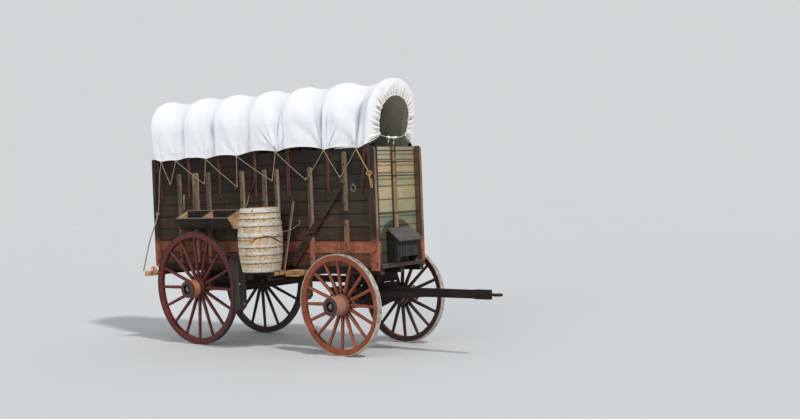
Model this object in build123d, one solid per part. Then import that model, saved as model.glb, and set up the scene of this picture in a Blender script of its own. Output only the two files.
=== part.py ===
from build123d import *
import math
import os

# A tall, narrow freight wagon on four wooden wheels, with a canvas cover drawn over bows.
# Lengths are in millimetres. +X is forward, +Y is the wagon's left and +Z is up. The origin is on
# the ground, on the centre plane, at the middle of the length over cover and coupling eye.

# Gaps between pieces
running_gap = 0.06          # radial, a turning pin or spindle in its hole
seat_gap = 0.3              # curved faces that rest on each other
board_gap = 4               # between neighbouring floor boards
beam_clearance = 5          # between the reach and the cross beams over it
cut_over = 50               # how far a cutting solid passes what it cuts

# Running gear
wheelbase = 2858
wheel_set_out = 718         # centre plane to the middle of a tyre, at hub height
camber = 1.4                # degrees that each wheel leans out at its top
rear_wheel_radius = 856
front_wheel_radius = 700
tyre_width = 75
tyre_thickness = 14
felloe_width = 68
felloe_depth = 76
felloe_edge = 8
spoke_count = 16
spoke_foot_width = 52
spoke_tip_width = 40
dish = 46                   # how far the spokes' feet stand inside the middle of the felloes
hub_seat_radius = 148       # to the flats that the spokes stand on
hub_seat_width = 64
hub_band_width = 28
hub_nose_band_radius = 130
hub_nose_band_width = 46
hub_tail_band_radius = 110
hub_inner_length = 172      # from the middle of the tyre towards the wagon
hub_outer_length = 203
hub_mouth_radius = 70
hub_mouth_depth = 66
arm_radius = 38
arm_collar_radius = 66
arm_collar_gap = 0.5
axle_nut_width = 78
axle_nut_length = 34

# Timbers of the gears, by their height above the ground and their size
bed_half_length = 520
bed_thickness = 120         # along the wagon
front_bed_below_arm = 70    # underside of the front bed below its arms' axis
front_bed_height = 120
rear_bed_below_arm = 65
hound_height = 85
hound_width = 70
sand_board_height = 72
rub_plate_radius = 150
rub_plate_thickness = 11
bolster_height = 165
bolster_half_length = 500
reach_height = 90
reach_width = 100
kingpin_radius = 18
kingpin_nut_radius = 34
kingpin_nut_height = 20
kingpin_tail = 60           # below the front bed
steer_limit = 14            # degrees, kept in the record too
hound_front_reach = 830     # ahead of the front axle
hound_rear_reach = 560
hound_spread = 240          # half, between the outer faces' middles at the axle
sway_bar_depth = 70
sway_bar_height = 48
rear_hound_reach = 820
rear_hound_spread = 380
tongue_width = 96
tongue_height = 110
tongue_rise = 20            # its bottom above the hounds' bottom
tongue_reach = 2100         # coupling eye ahead of the front axle
eye_bore_radius = 24
eye_ring_radius = 56
eye_thickness = 32
eye_shank_length = 230
eye_strap_thickness = 8
coupling_setback = 640      # coupling pin behind the rear axle
coupling_bore_radius = 19
coupling_plate_thickness = 16
coupling_width = 90
coupling_throat = 88        # clear height between the coupling's plates
coupling_depth = 110        # pin to the web between the plates

# Brake
shoe_gap = 9
shoe_height = 760
shoe_thickness = 120
shoe_width = 150
shoe_heel = 130             # thickness of the shoe's thin ends, at their back
brake_beam_height = 90
brake_beam_depth = 100
lever_width = 34
lever_thickness = 12
lever_height = 980
lever_lean_x = 150          # from foot to head
lever_lean_y = 85
lever_place = 1810
lever_set_out = 690

# Body box
body_length = 4550
rear_overhang = 1150        # rear posts behind the rear axle
board_count = 9
board_height = 182
board_thickness = 30
seam_width = 7              # V grooves between the boards of a wall
seam_depth = 6
body_half_width = 485       # to the outer face of the side boards
end_recess = 80             # end boards inside the posts' outer faces
stake_thickness = 45
stake_width = 56
stake_foot_rise = 22        # above the body's underside, as are all rises of the body
stake_top_rise = 1400
front_stake_setback = 548   # behind the body's front end
front_post_width = 120
rear_post_width = 70
post_rise = 10              # rounded post tops above the side boards
post_foot_drop = 42         # below the body's underside
cleat_width = 82
cleat_thickness = 34
cleat_offset = -30
sill_height = 100
sill_width = 90
floor_thickness = 34
header_thickness = 40
header_half_length = 476
header_height = 52
header_rise = 40            # above the floor's underside
cross_beam_width = 110
brace_width = 90
brace_thickness = 35
brace_foot_place = 1850     # from the rear axle
brace_foot_rise = 36
brace_head_place = 2840
brace_head_rise = 1186
rod_radius = 8
rod_stick_out = 12          # beyond the posts
rod_rises = (723, 1236, 1427, 1578)

# Cover and bows
bow_width = 46
bow_thickness = 20
bow_leg_rise = 1000
bow_arch_rise = 2056        # where the straight legs turn into the half circle
bow_rake = 9                # degrees that the end bows lean outwards
bow_places = (-320, 350, 1110, 1780, 2540)     # from the rear axle
front_bow_setback = 295     # the end bows' feet inside the ends of the side boards
rear_bow_setback = 225
cover_thickness = 12
cover_dip = 46              # of the crown, midway between bows
cover_side_dip = 0.34       # of the sides, as a share of the crown's dip
cover_bow_margin = 30       # undipped cover on both sides of a bow
cover_hem_drop = 22         # below the top of the side boards
cover_end_rise = 30         # the ends' lower edge above the side boards
cover_hole_radius = 298
cover_hole_rise = 15        # above the bows' half circles
cover_mouth_angle = 28      # degrees below level where a hole's round edge turns straight down
cover_mouth_drop = 235      # from a hole's centre to the foot of its straight edges

# Fittings
trough_start = -350         # from the rear axle
trough_length = 1160
trough_rise = 547
trough_back_height = 284
trough_front_height = 164
trough_bottom_depth = 150
trough_top_depth = 262
trough_wall = 22
barrel_place = 1550
barrel_set_out = 875
barrel_height = 907
barrel_head_radius = 265
barrel_bilge_radius = 317
barrel_head_recess = 26
barrel_chime = 22
hoop_thickness = 3
hoops = (                   # lower edge above the barrel's foot, width
    (4, 65), (133, 42), (244, 50), (351, 42), (499, 67), (650, 56), (754, 42), (837, 66),
)
barrel_beam_places = (1370, 1755)
platform_thickness = 50
platform_start = 1250
platform_end = 1850
platform_half_width = 930
step_end = 2090             # of the step ahead of the platform
step_half_width = 705
step_drop = 26              # underside below the platform's
rear_beam_place = -1010
rear_beam_half_length = 830
tool_box_half_width = 234
tool_box_depth = 166
tool_box_back_top_rise = 510
tool_box_front_top_rise = 381
tool_box_bottom_rise = 126
tool_box_wall = 20
tool_box_foot_depth = 90    # the ends run down to the header and are cut back below the box
lid_thickness = 20
lid_front_overhang = 62
lid_side_overhang = 24
lid_pin_radius = 5
lid_pin_inset = 16          # pin ahead of the box's back
lid_ear_thickness = 6
lid_ear_radius = 9
lid_ear_length = 90
lid_ear_gap = 3
lid_notch_depth = 28        # ahead of the pin, around each ear

# Places and heights worked out from the sizes above
lean = math.radians(camber)


def arm_height(radius):
    """Height of an axle arm's axis where it leaves the bed."""
    return radius * math.cos(lean) + (wheel_set_out - bed_half_length) * math.tan(lean)


front_bed_bottom = arm_height(front_wheel_radius) - front_bed_below_arm
bed_top_front = front_bed_bottom + front_bed_height
sand_board_bottom = bed_top_front + hound_height
sand_board_top = sand_board_bottom + sand_board_height
reach_bottom = sand_board_top + 2 * rub_plate_thickness + seat_gap
reach_top = reach_bottom + reach_height
rear_bed_bottom = arm_height(rear_wheel_radius) - rear_bed_below_arm
sill_bottom = reach_bottom + bolster_height
cross_beam_bottom = reach_top + beam_clearance
body_bottom = sill_bottom + sill_height
side_top = body_bottom + board_count * board_height
floor_top = body_bottom + floor_thickness
rod_heights = [body_bottom + rise for rise in rod_rises]
post_outer = body_half_width + stake_thickness
inside_half = body_half_width - board_thickness

bow_leg_bottom = body_bottom + bow_leg_rise
bow_arch_height = body_bottom + bow_arch_rise
cover_hem = side_top - cover_hem_drop
cover_hole_height = bow_arch_height + cover_hole_rise
bow_outer_half = body_half_width + bow_thickness
cover_outer_half = bow_outer_half + seat_gap + cover_thickness
rake_slope = math.tan(math.radians(bow_rake))


def rake_reach(height):
    """How far an end bow leans out at a height."""
    return (height - bow_leg_bottom) * rake_slope


crown = bow_arch_height + cover_outer_half
end_reach = rake_reach(crown) + bow_width + seat_gap + cover_thickness
rear_bow_foot = rear_bow_setback - rear_overhang
front_bow_foot = body_length - rear_overhang - front_bow_setback
nose = wheelbase + tongue_reach + eye_ring_radius
rear_axle_x = (end_reach - rear_bow_foot - nose) / 2
front_axle_x = rear_axle_x + wheelbase
body_rear = rear_axle_x - rear_overhang
body_front = body_rear + body_length

os.makedirs("parts", exist_ok=True)


def block(x, y, z):
    """A box between two places along each axis."""
    size = (x[1] - x[0], y[1] - y[0], z[1] - z[0])
    centre = ((x[0] + x[1]) / 2, (y[0] + y[1]) / 2, (z[0] + z[1]) / 2)
    return Pos(*centre) * Box(*size)


def around(middle, width):
    return (middle - width / 2, middle + width / 2)


def rod(radius, start, end):
    line = Vector(*end) - Vector(*start)
    seat = Plane(origin=start, z_dir=line)
    return extrude(seat * Circle(radius), line.length)


def prism_y(points, y):
    """A prism whose outline is drawn in X and Z and runs between two places along Y."""
    face = make_face(Polyline(*[(px, y[0], pz) for px, pz in points], close=True))
    return extrude(face, y[1] - y[0], dir=(0, 1, 0))


def prism_x(points, x):
    """A prism whose outline is drawn in Y and Z and runs between two places along X."""
    face = make_face(Polyline(*[(x[0], py, pz) for py, pz in points], close=True))
    return extrude(face, x[1] - x[0], dir=(1, 0, 0))


def prism_z(points, z):
    """A prism whose outline is drawn in X and Y and runs between two heights."""
    face = make_face(Polyline(*[(px, py, z[0]) for px, py in points], close=True))
    return extrude(face, z[1] - z[0], dir=(0, 0, 1))


def both_sides(shape):
    return [shape, mirror(shape, about=Plane.XZ)]


def write(node, shapes):
    """Write one node; its solids don't touch each other."""
    solids = []
    for shape in shapes if isinstance(shapes, list) else [shapes]:
        solids.extend(shape.solids())
    whole = solids[0] if len(solids) == 1 else Compound(children=solids)
    export_step(whole, f"parts/{node}.step")


# Wheels. Each is drawn about +Z, which points away from the wagon, with the middle of its tyre at
# the origin, and is then set in its place.

wheels = (                  # name, axle's place, radius, side
    ("rear_right", rear_axle_x, rear_wheel_radius, -1),
    ("rear_left", rear_axle_x, rear_wheel_radius, 1),
    ("front_right", front_axle_x, front_wheel_radius, -1),
    ("front_left", front_axle_x, front_wheel_radius, 1),
)


def wheel_seat(axle_x, radius, side):
    """The place of a wheel whose tread stands flat on the ground."""
    centre = (axle_x, side * wheel_set_out, radius * math.cos(lean))
    outwards = (0, side * math.cos(lean), -math.sin(lean))
    return Plane(origin=centre, x_dir=(1, 0, 0), z_dir=outwards)


def ring(points):
    """A solid turned about +Z from an outline of radius and height."""
    face = make_face(Polyline(*[(r, 0, h) for r, h in points], close=True))
    return revolve(face, Axis.Z)


def tyre(radius):
    """A flat iron tyre, coned by the camber so that it stands flat."""
    half = tyre_width / 2
    cone = half * math.tan(lean)
    bore = radius - tyre_thickness
    return ring([(bore, -half), (radius + cone, -half), (radius - cone, half), (bore, half)])


def spoke(angle, tip_radius):
    """An eight-sided spoke that tapers to the felloe and leans out with the dish."""
    foot_radius = hub_seat_radius - 12
    foot = Vector(foot_radius, 0, -dish)
    tip = Vector(tip_radius, 0, 0)
    line = tip - foot
    taper = math.degrees(math.atan((spoke_foot_width - spoke_tip_width) / 2 / line.length))
    seat = Plane(origin=foot, x_dir=(0, 1, 0), z_dir=line)
    section = seat * RegularPolygon(spoke_foot_width / 2, 8, major_radius=False)
    return extrude(section, line.length, taper=taper).rotate(Axis.Z, angle)


def spoked_rim(radius):
    outer = radius - tyre_thickness - seat_gap
    inner = outer - felloe_depth
    half = felloe_width / 2
    rim = ring([
        (inner + felloe_edge, -half), (outer, -half), (outer, half), (inner + felloe_edge, half),
        (inner, half - felloe_edge), (inner, felloe_edge - half),
    ])
    for i in range(spoke_count):
        rim = rim + spoke(i * 360 / spoke_count, inner + felloe_edge)
    seat = RegularPolygon(hub_seat_radius, spoke_count, major_radius=False, rotation=180 / spoke_count)
    core = Pos(0, 0, -dish - hub_seat_width) * extrude(seat, 2 * hub_seat_width)
    return rim - core


def hub():
    """A turned hub: banded at both ends and beside the flats that the spokes stand on."""
    seat_low = -dish - hub_seat_width / 2
    seat_high = -dish + hub_seat_width / 2
    shoulder = hub_seat_radius - 6
    tail_high = -hub_inner_length + hub_band_width
    nose_low = hub_outer_length - hub_nose_band_width
    swell = (seat_high + hub_band_width + nose_low) / 2
    outline = [
        (arm_radius + running_gap, -hub_inner_length), (hub_tail_band_radius - 2, -hub_inner_length),
        (hub_tail_band_radius, tail_high), (hub_tail_band_radius - 6, tail_high),
        (shoulder - 14, seat_low - hub_band_width), (shoulder - 4, seat_low - hub_band_width),
        (shoulder, seat_low), (shoulder, seat_high), (shoulder - 3, seat_high + hub_band_width),
        (shoulder - 9, seat_high + hub_band_width), (hub_nose_band_radius + 3, swell),
        (hub_nose_band_radius - 6, nose_low), (hub_nose_band_radius, nose_low),
        (hub_nose_band_radius - 3, hub_outer_length), (hub_mouth_radius, hub_outer_length),
        (hub_mouth_radius, hub_outer_length - hub_mouth_depth),
        (arm_radius + running_gap, hub_outer_length - hub_mouth_depth),
    ]
    flats = RegularPolygon(hub_seat_radius, spoke_count, major_radius=False, rotation=180 / spoke_count)
    seat = Pos(0, 0, seat_low) * extrude(flats, hub_seat_width)
    bore = Pos(0, 0, seat_low) * extrude(Circle(arm_radius + running_gap), hub_seat_width)
    return ring(outline) + (seat - bore)


def axle_arm():
    """The iron arm: a collar against the bed's end, the spindle, and the nut in the hub's mouth."""
    spindle_end = hub_outer_length - hub_mouth_depth + 4 + axle_nut_length
    collar_low = -hub_inner_length - 60
    collar_high = -hub_inner_length - arm_collar_gap
    collar = Pos(0, 0, collar_low) * extrude(Circle(arm_collar_radius), collar_high - collar_low)
    spindle = Pos(0, 0, collar_low) * extrude(Circle(arm_radius), spindle_end - collar_low)
    nut_seat = hub_outer_length - hub_mouth_depth + arm_collar_gap
    nut = Pos(0, 0, nut_seat) * extrude(
        RegularPolygon(axle_nut_width / 2, 6, major_radius=False), axle_nut_length)
    tip = Pos(0, 0, spindle_end) * extrude(Circle(arm_radius - 14), 12)
    return collar + spindle + nut + tip


for name, axle_x, radius, side in wheels:
    place = wheel_seat(axle_x, radius, side)
    write(f"tyre_{name}", place * tyre(radius))
    write(f"wheel_{name}", place * spoked_rim(radius))
    write(f"hub_{name}", place * hub())

arm_space = block((-1e4, 1e4), (-bed_half_length, bed_half_length), (0, 2000))
for gear, axle_x, radius in (("rear", rear_axle_x, rear_wheel_radius),
                             ("front", front_axle_x, front_wheel_radius)):
    write(f"{gear}_axle_arms", both_sides(wheel_seat(axle_x, radius, 1) * axle_arm() - arm_space))

# Front gear, which turns about the kingpin

pin_hole = rod(kingpin_radius + running_gap, (front_axle_x, 0, 0), (front_axle_x, 0, body_bottom))


def axle_bed(axle_x, bottom, top):
    return block(around(axle_x, bed_thickness), (-bed_half_length, bed_half_length), (bottom, top))


write("front_axle_bed", axle_bed(front_axle_x, front_bed_bottom, bed_top_front) - pin_hole)

sand_board = block(around(front_axle_x, bed_thickness + 10), (-bolster_half_length, bolster_half_length),
                   (sand_board_bottom, sand_board_top))
write("sand_board", sand_board - pin_hole)

tongue_bottom = bed_top_front + tongue_rise
tongue_top = tongue_bottom + tongue_height
tongue_back = front_axle_x + bed_thickness / 2 + 24
tongue_tip = front_axle_x + tongue_reach - eye_ring_radius - 70


def hound_outline(side):
    """Straight over the axle, then bent in to clasp the tongue."""
    inner = hound_spread - hound_width / 2
    outer = hound_spread + hound_width / 2
    clasp = tongue_width / 2
    back = front_axle_x - hound_rear_reach
    bend = front_axle_x + bed_thickness / 2 + 10
    front = front_axle_x + hound_front_reach
    points = [
        (back, inner), (bend, inner), (front - 190, clasp), (front, clasp),
        (front, clasp + hound_width - 18), (front - 170, clasp + hound_width),
        (bend + 30, outer), (back, outer),
    ]
    return [(px, side * py) for px, py in points]


hounds = [prism_z(hound_outline(side), (bed_top_front, sand_board_bottom)) for side in (-1, 1)]
sway_back = front_axle_x - hound_rear_reach + 15
sway_bar = block((sway_back, sway_back + sway_bar_depth), (-hound_spread - 60, hound_spread + 60),
                 (sand_board_bottom, sand_board_bottom + sway_bar_height))
write("front_hounds", sway_bar + hounds[0] + hounds[1])

tongue_half = tongue_width / 2
tip_half = tongue_half - 12
taper_start = tongue_tip - 700
tongue_outline = [
    (tongue_back, -tongue_half), (taper_start, -tongue_half), (tongue_tip, -tip_half),
    (tongue_tip, tip_half), (taper_start, tongue_half), (tongue_back, tongue_half),
]
write("tongue", prism_z(tongue_outline, (tongue_bottom, tongue_top)))

# The coupling eye: a ring with a shank into a box of straps around the tongue's tip
eye_x = front_axle_x + tongue_reach
eye_z = around((tongue_bottom + tongue_top) / 2, eye_thickness)
eye_ring = rod(eye_ring_radius, (eye_x, 0, eye_z[0]), (eye_x, 0, eye_z[1]))
eye_shank = block((tongue_tip, eye_x), (-30, 30), eye_z)
eye_front = tongue_tip + eye_strap_thickness
eye_cap = block((tongue_tip, eye_front), (-tip_half, tip_half), (tongue_bottom, tongue_top))
eye_straps = [
    block((tongue_tip - eye_shank_length, eye_front), (-30, 30), limits)
    for limits in ((tongue_top, tongue_top + eye_strap_thickness),
                   (tongue_bottom - eye_strap_thickness, tongue_bottom))
]
eye_bore = rod(eye_bore_radius, (eye_x, 0, 0), (eye_x, 0, 2000))
write("tongue_eye", eye_ring + eye_shank + eye_cap + eye_straps[0] + eye_straps[1] - eye_bore)

lower_plate = rod(rub_plate_radius, (front_axle_x, 0, sand_board_top),
                  (front_axle_x, 0, sand_board_top + rub_plate_thickness))
write("lower_rub_plate", lower_plate - pin_hole)

# Kingpin, reach and rear gear, which stay with the body

upper_plate = rod(rub_plate_radius, (front_axle_x, 0, sand_board_top + rub_plate_thickness + seat_gap),
                  (front_axle_x, 0, reach_bottom))
write("upper_rub_plate", upper_plate - pin_hole)

bolsters = []
reach_mortise = block((-1e4, 1e4), (-reach_width / 2, reach_width / 2), (reach_bottom, reach_top))
for axle_x in (rear_axle_x, front_axle_x):
    beam = block(around(axle_x, bed_thickness), (-bolster_half_length, bolster_half_length),
                 (reach_bottom, sill_bottom))
    bolsters.append(beam - reach_mortise - pin_hole)
write("bolsters", bolsters)

coupling_x = rear_axle_x - coupling_setback
reach_back = coupling_x - coupling_width / 2
reach_front = front_axle_x + bed_thickness
reach = block((reach_back, reach_front), (-reach_width / 2, reach_width / 2), (reach_bottom, reach_top))
write("reach", reach - pin_hole)

pin_top = sill_bottom - board_gap
kingpin = rod(kingpin_radius, (front_axle_x, 0, front_bed_bottom - kingpin_tail), (front_axle_x, 0, pin_top))
nut_top = front_bed_bottom - seat_gap
nut_bottom = nut_top - kingpin_nut_height
kingpin_nut = rod(kingpin_nut_radius, (front_axle_x, 0, nut_bottom), (front_axle_x, 0, nut_top))
write("kingpin", kingpin + kingpin_nut)

write("rear_axle_bed", axle_bed(rear_axle_x, rear_bed_bottom, reach_bottom))

rear_hounds = []
for side in (-1, 1):
    start = rear_axle_x + bed_thickness / 2
    tip = rear_axle_x + rear_hound_reach
    points = [
        (start, rear_hound_spread - hound_width / 2), (tip - 150, reach_width / 2), (tip, reach_width / 2),
        (tip, reach_width / 2 + 20), (start, rear_hound_spread + hound_width / 2),
    ]
    rear_hounds.append(prism_z([(px, side * py) for px, py in points], (reach_bottom, reach_top - 12)))
write("rear_hounds", rear_hounds)

# Rear coupling: two plates and a web, under the tail of the reach
plate_length = coupling_depth + coupling_width / 2
coupling_low = reach_bottom - coupling_throat - 2 * coupling_plate_thickness
coupling_limits = (coupling_x - coupling_width / 2, coupling_x + coupling_depth + coupling_plate_thickness)
half = coupling_width / 2
upper_leaf = block(coupling_limits, (-half, half), (reach_bottom - coupling_plate_thickness, reach_bottom))
lower_leaf = block(coupling_limits, (-half, half), (coupling_low, coupling_low + coupling_plate_thickness))
web = block((coupling_x + coupling_depth, coupling_limits[1]), (-half, half), (coupling_low, reach_bottom))
coupling_hole = rod(coupling_bore_radius, (coupling_x, 0, 0), (coupling_x, 0, reach_bottom))
write("rear_coupling", upper_leaf + lower_leaf + web - coupling_hole)

# Brake: a beam under the reach, with a long curved shoe ahead of each rear tyre

shoe_front = rear_axle_x + rear_wheel_radius + shoe_gap + shoe_thickness
shoe_low = reach_bottom - shoe_height / 2
shoe_high = reach_bottom + shoe_height / 2
shoe_chamfer = shoe_thickness / 2
shoe_back = shoe_front - shoe_chamfer - shoe_heel
beam_back = shoe_front - brake_beam_depth
shoes = []
for side in (-1, 1):
    y = around(side * wheel_set_out, shoe_width)
    outline = [
        (shoe_back, shoe_low), (shoe_front - shoe_chamfer, shoe_low), (shoe_front, shoe_low + shoe_chamfer),
        (shoe_front, shoe_high - shoe_chamfer), (shoe_front - shoe_chamfer, shoe_high),
        (shoe_back, shoe_high),
    ]
    hollow = rod(rear_wheel_radius + shoe_gap, (rear_axle_x, y[0] - cut_over, rear_wheel_radius),
                 (rear_axle_x, y[1] + cut_over, rear_wheel_radius))
    shoes.append(prism_y(outline, y) - hollow)
write("brake_shoes", shoes)
beam_half = wheel_set_out - shoe_width / 2
write("brake_beam", block((beam_back, shoe_front), (-beam_half, beam_half),
                          (reach_bottom - brake_beam_height, reach_bottom)))

# Body box

write("sills", [
    block((body_rear, body_front), y, (sill_bottom, body_bottom))
    for y in ((-body_half_width, sill_width - body_half_width), around(0, sill_width),
              (body_half_width - sill_width, body_half_width))
])

header_top = body_bottom + header_rise
write("headers", [
    block(x, (-header_half_length, header_half_length), (header_top - header_height, header_top))
    for x in ((body_rear - header_thickness, body_rear), (body_front, body_front + header_thickness))
])

barrel_beams = [
    block(around(rear_axle_x + x, cross_beam_width), (-platform_half_width, platform_half_width),
          (cross_beam_bottom, sill_bottom))
    for x in barrel_beam_places
]
rear_beam = block(around(rear_axle_x + rear_beam_place, cross_beam_width),
                  (-rear_beam_half_length, rear_beam_half_length), (cross_beam_bottom, sill_bottom))
write("cross_beams", barrel_beams + [rear_beam])

# The floor lies between two thresholds, which carry the end boards
front_boards_x = (body_front - end_recess - board_thickness, body_front - end_recess)
rear_boards_x = (body_rear + end_recess, body_rear + end_recess + board_thickness)
floor_runs = (
    (body_rear, rear_boards_x[1]), (rear_boards_x[1] + board_gap, front_boards_x[0] - board_gap),
    (front_boards_x[0], body_front),
)
write("floor", [block(x, (-inside_half, inside_half), (body_bottom, floor_top)) for x in floor_runs])


def wall_outline(near, far, foot):
    """The section of a wall of boards: across and up, with a V groove on both faces at each seam."""
    depth = math.copysign(seam_depth, far - near)
    near_face = [(near, foot)]
    far_face = [(far, foot)]
    for i in range(1, board_count):
        seam = body_bottom + i * board_height
        for inwards, height in ((0, seam - seam_width / 2), (depth, seam), (0, seam + seam_width / 2)):
            near_face.append((near + inwards, height))
            far_face.append((far - inwards, height))
    return near_face + [(near, side_top), (far, side_top)] + far_face[::-1]


# Cross rods just outside the end cleats, through the side boards and posts
front_rod_x = front_boards_x[1] + cleat_thickness + rod_radius + seat_gap
rear_rod_x = rear_boards_x[0] - cleat_thickness - rod_radius - seat_gap
rod_half = post_outer + rod_stick_out


def cross_rod(radius, x, height):
    return rod(radius, (x, -rod_half, height), (x, rod_half, height))


rod_places = [(x, height) for x in (front_rod_x, rear_rod_x) for height in rod_heights]
write("cross_rods", [cross_rod(rod_radius, x, height) for x, height in rod_places])


def bored(shape):
    """The same shape with holes where the cross rods pass."""
    for x, height in rod_places:
        shape = shape - cross_rod(rod_radius + running_gap, x, height)
    return shape


for name, side in (("left", 1), ("right", -1)):
    outline = wall_outline(side * body_half_width, side * inside_half, body_bottom)
    write(f"side_boards_{name}", bored(prism_x(outline, (body_rear, body_front))))

# The end boards stand on the floor, between the side boards
end_half = inside_half - seat_gap
for name, x in (("front", front_boards_x), ("rear", rear_boards_x)):
    write(f"{name}_boards", prism_y(wall_outline(x[0], x[1], floor_top), (-end_half, end_half)))


def upright(x, y, foot, top):
    """A stake or post with a rounded top."""
    width = x[1] - x[0]
    middle = (x[0] + x[1]) / 2
    shoulder = top - width / 2
    straight = block(x, y, (foot, shoulder))
    head = rod(width / 2, (middle, y[0], shoulder), (middle, y[1], shoulder))
    return straight + head


right_face = (-post_outer, -body_half_width)
posts = []
for x in ((body_rear, body_rear + rear_post_width), (body_front - front_post_width, body_front)):
    posts.extend(both_sides(upright(x, right_face, body_bottom - post_foot_drop, side_top + post_rise)))
write("corner_posts", [bored(post) for post in posts])

front_stake_place = body_length - rear_overhang - front_stake_setback
stakes = (                  # place from the rear axle, width, foot, top
    (-540, stake_width, stake_foot_rise, stake_top_rise),
    (-170, 104, stake_foot_rise, stake_top_rise),
    (120, stake_width, stake_foot_rise, stake_top_rise),
    (850, stake_width, stake_foot_rise, stake_top_rise),
    (1310, stake_width, stake_foot_rise, stake_top_rise),
    (1560, stake_width, stake_foot_rise, stake_top_rise),
    (2205, stake_width, stake_foot_rise, stake_top_rise),
    (front_stake_place, stake_width, 780, 1590),
    (front_stake_place, stake_width, 225, 650),
)
side_stakes = []
for place, width, foot, top in stakes:
    x = around(rear_axle_x + place, width)
    side_stakes.extend(both_sides(upright(x, right_face, body_bottom + foot, body_bottom + top)))
write("side_stakes", side_stakes)

cleats = []
for x in ((front_boards_x[1], front_boards_x[1] + cleat_thickness),
          (rear_boards_x[0] - cleat_thickness, rear_boards_x[0])):
    cleats.append(block(x, around(cleat_offset, cleat_width), (floor_top, side_top - board_gap)))
write("end_cleats", cleats)

braces = []
run = brace_head_place - brace_foot_place
rise = brace_head_rise - brace_foot_rise
brace_length = math.hypot(run, rise)
across_x = -rise / brace_length * brace_width / 2
across_z = run / brace_length * brace_width / 2
brace_ends = (
    (rear_axle_x + brace_foot_place, body_bottom + brace_foot_rise),
    (rear_axle_x + brace_head_place, body_bottom + brace_head_rise),
)
brace_outline = [
    (brace_ends[0][0] + across_x, brace_ends[0][1] + across_z),
    (brace_ends[0][0] - across_x, brace_ends[0][1] - across_z),
    (brace_ends[1][0] - across_x, brace_ends[1][1] - across_z),
    (brace_ends[1][0] + across_x, brace_ends[1][1] + across_z),
]
write("side_braces", both_sides(prism_y(brace_outline, (-post_outer - brace_thickness, -post_outer))))

# Bows and cover. Straight legs carry half circles; the end bows lean outwards.


def arch(half_width, foot, dip=0):
    """The outline of an arch, in Y and Z, with its crown lowered and its legs drawn in by a dip."""
    half = half_width - cover_side_dip * dip
    turn = bow_arch_height - (1 - cover_side_dip) * dip
    legs = Polyline((0, -half, foot), (0, -half, turn))
    top = ThreePointArc((0, -half, turn), (0, 0, turn + half), (0, half, turn))
    rest = Polyline((0, half, turn), (0, half, foot), (0, -half, foot))
    return make_face(legs + top + rest)


def tunnel(half_width, foot, x):
    """A solid arch that runs between two places along X."""
    return extrude(Pos(x[0], 0, 0) * arch(half_width, foot), x[1] - x[0], dir=(1, 0, 0))


def hoop_between(inner_half, outer_half, foot, x):
    inner = tunnel(inner_half, foot - cut_over, (x[0] - cut_over, x[1] + cut_over))
    return tunnel(outer_half, foot, x) - inner


def leaning_slab(foot_x, direction, start, depth):
    """A slab that leans outwards with the end bows, from start to start + depth along X."""
    low = body_bottom
    high = crown + cut_over
    points = []
    for offset, height in ((start, low), (start + depth, low), (start + depth, high), (start, high)):
        points.append((rear_axle_x + foot_x + direction * (offset + rake_reach(height)), height))
    return prism_y(points, (-cover_outer_half - cut_over, cover_outer_half + cut_over))


bows = []
for place in bow_places:
    x = around(rear_axle_x + place, bow_width)
    bows.append(hoop_between(body_half_width, bow_outer_half, bow_leg_bottom, x))
end_bows = ((front_bow_foot, 1), (rear_bow_foot, -1))
end_space = (rear_axle_x + rear_bow_foot - end_reach, rear_axle_x + front_bow_foot + end_reach)
for foot_x, direction in end_bows:
    whole = hoop_between(body_half_width, bow_outer_half, bow_leg_bottom, end_space)
    bows.append(whole & leaning_slab(foot_x, direction, 0, bow_width))
write("bows", bows)


def sections():
    """Where the cover's section changes: its place along X and its share of the dip."""
    flat_half = bow_width / 2 + cover_bow_margin
    edges = [rear_bow_foot + cover_bow_margin]
    for place in bow_places:
        edges.extend(around(place, 2 * flat_half))
    edges.append(front_bow_foot - cover_bow_margin)
    result = [(end_space[0], 0)]
    for start, end in zip(edges[::2], edges[1::2]):
        for share, depth in ((0, 0), (0.22, 0.65), (0.5, 1), (0.78, 0.65), (1, 0)):
            result.append((rear_axle_x + start + share * (end - start), depth))
    return result + [(end_space[1], 0)]


def draped(half_width, foot, overrun):
    """A solid arch along the whole cover that dips between the bows."""
    places = sections()
    places[0] = (places[0][0] - overrun, 0)
    places[-1] = (places[-1][0] + overrun, 0)
    outlines = [Pos(x, 0, 0) * arch(half_width, foot, share * cover_dip) for x, share in places]
    return loft(outlines, ruled=True)


shell = draped(cover_outer_half, cover_hem, 0)
shell = shell - draped(bow_outer_half + seat_gap, cover_hem - cover_thickness, cover_thickness)
ends_cut = [
    leaning_slab(foot_x, direction, bow_width, 2 * end_reach) for foot_x, direction in end_bows
]
write("cover", shell - ends_cut[0] - ends_cut[1])

# The ends are drawn in to a hole that stays open below, between two slanting lower edges
hole = rod(cover_hole_radius, (end_space[0], 0, cover_hole_height), (end_space[1], 0, cover_hole_height))
mouth_half = cover_hole_radius * math.cos(math.radians(cover_mouth_angle))
mouth_top = cover_hole_height - cover_hole_radius * math.sin(math.radians(cover_mouth_angle))
mouth_foot = cover_hole_height - cover_mouth_drop
skirt = side_top + cover_end_rise
mouth_side = [(mouth_half, mouth_top), (mouth_half, mouth_foot), (cover_outer_half, skirt),
              (cover_outer_half, skirt - cut_over)]
mouth = prism_x(mouth_side + [(-py, pz) for py, pz in mouth_side[::-1]], end_space)
ends = []
for foot_x, direction in end_bows:
    whole = tunnel(cover_outer_half, skirt, end_space)
    leaning = whole & leaning_slab(foot_x, direction, bow_width + seat_gap, cover_thickness)
    ends.append(leaning - hole - mouth)
write("cover_ends", ends)

# Feed trough, on the right side: two boxes with a sloping front

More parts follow.
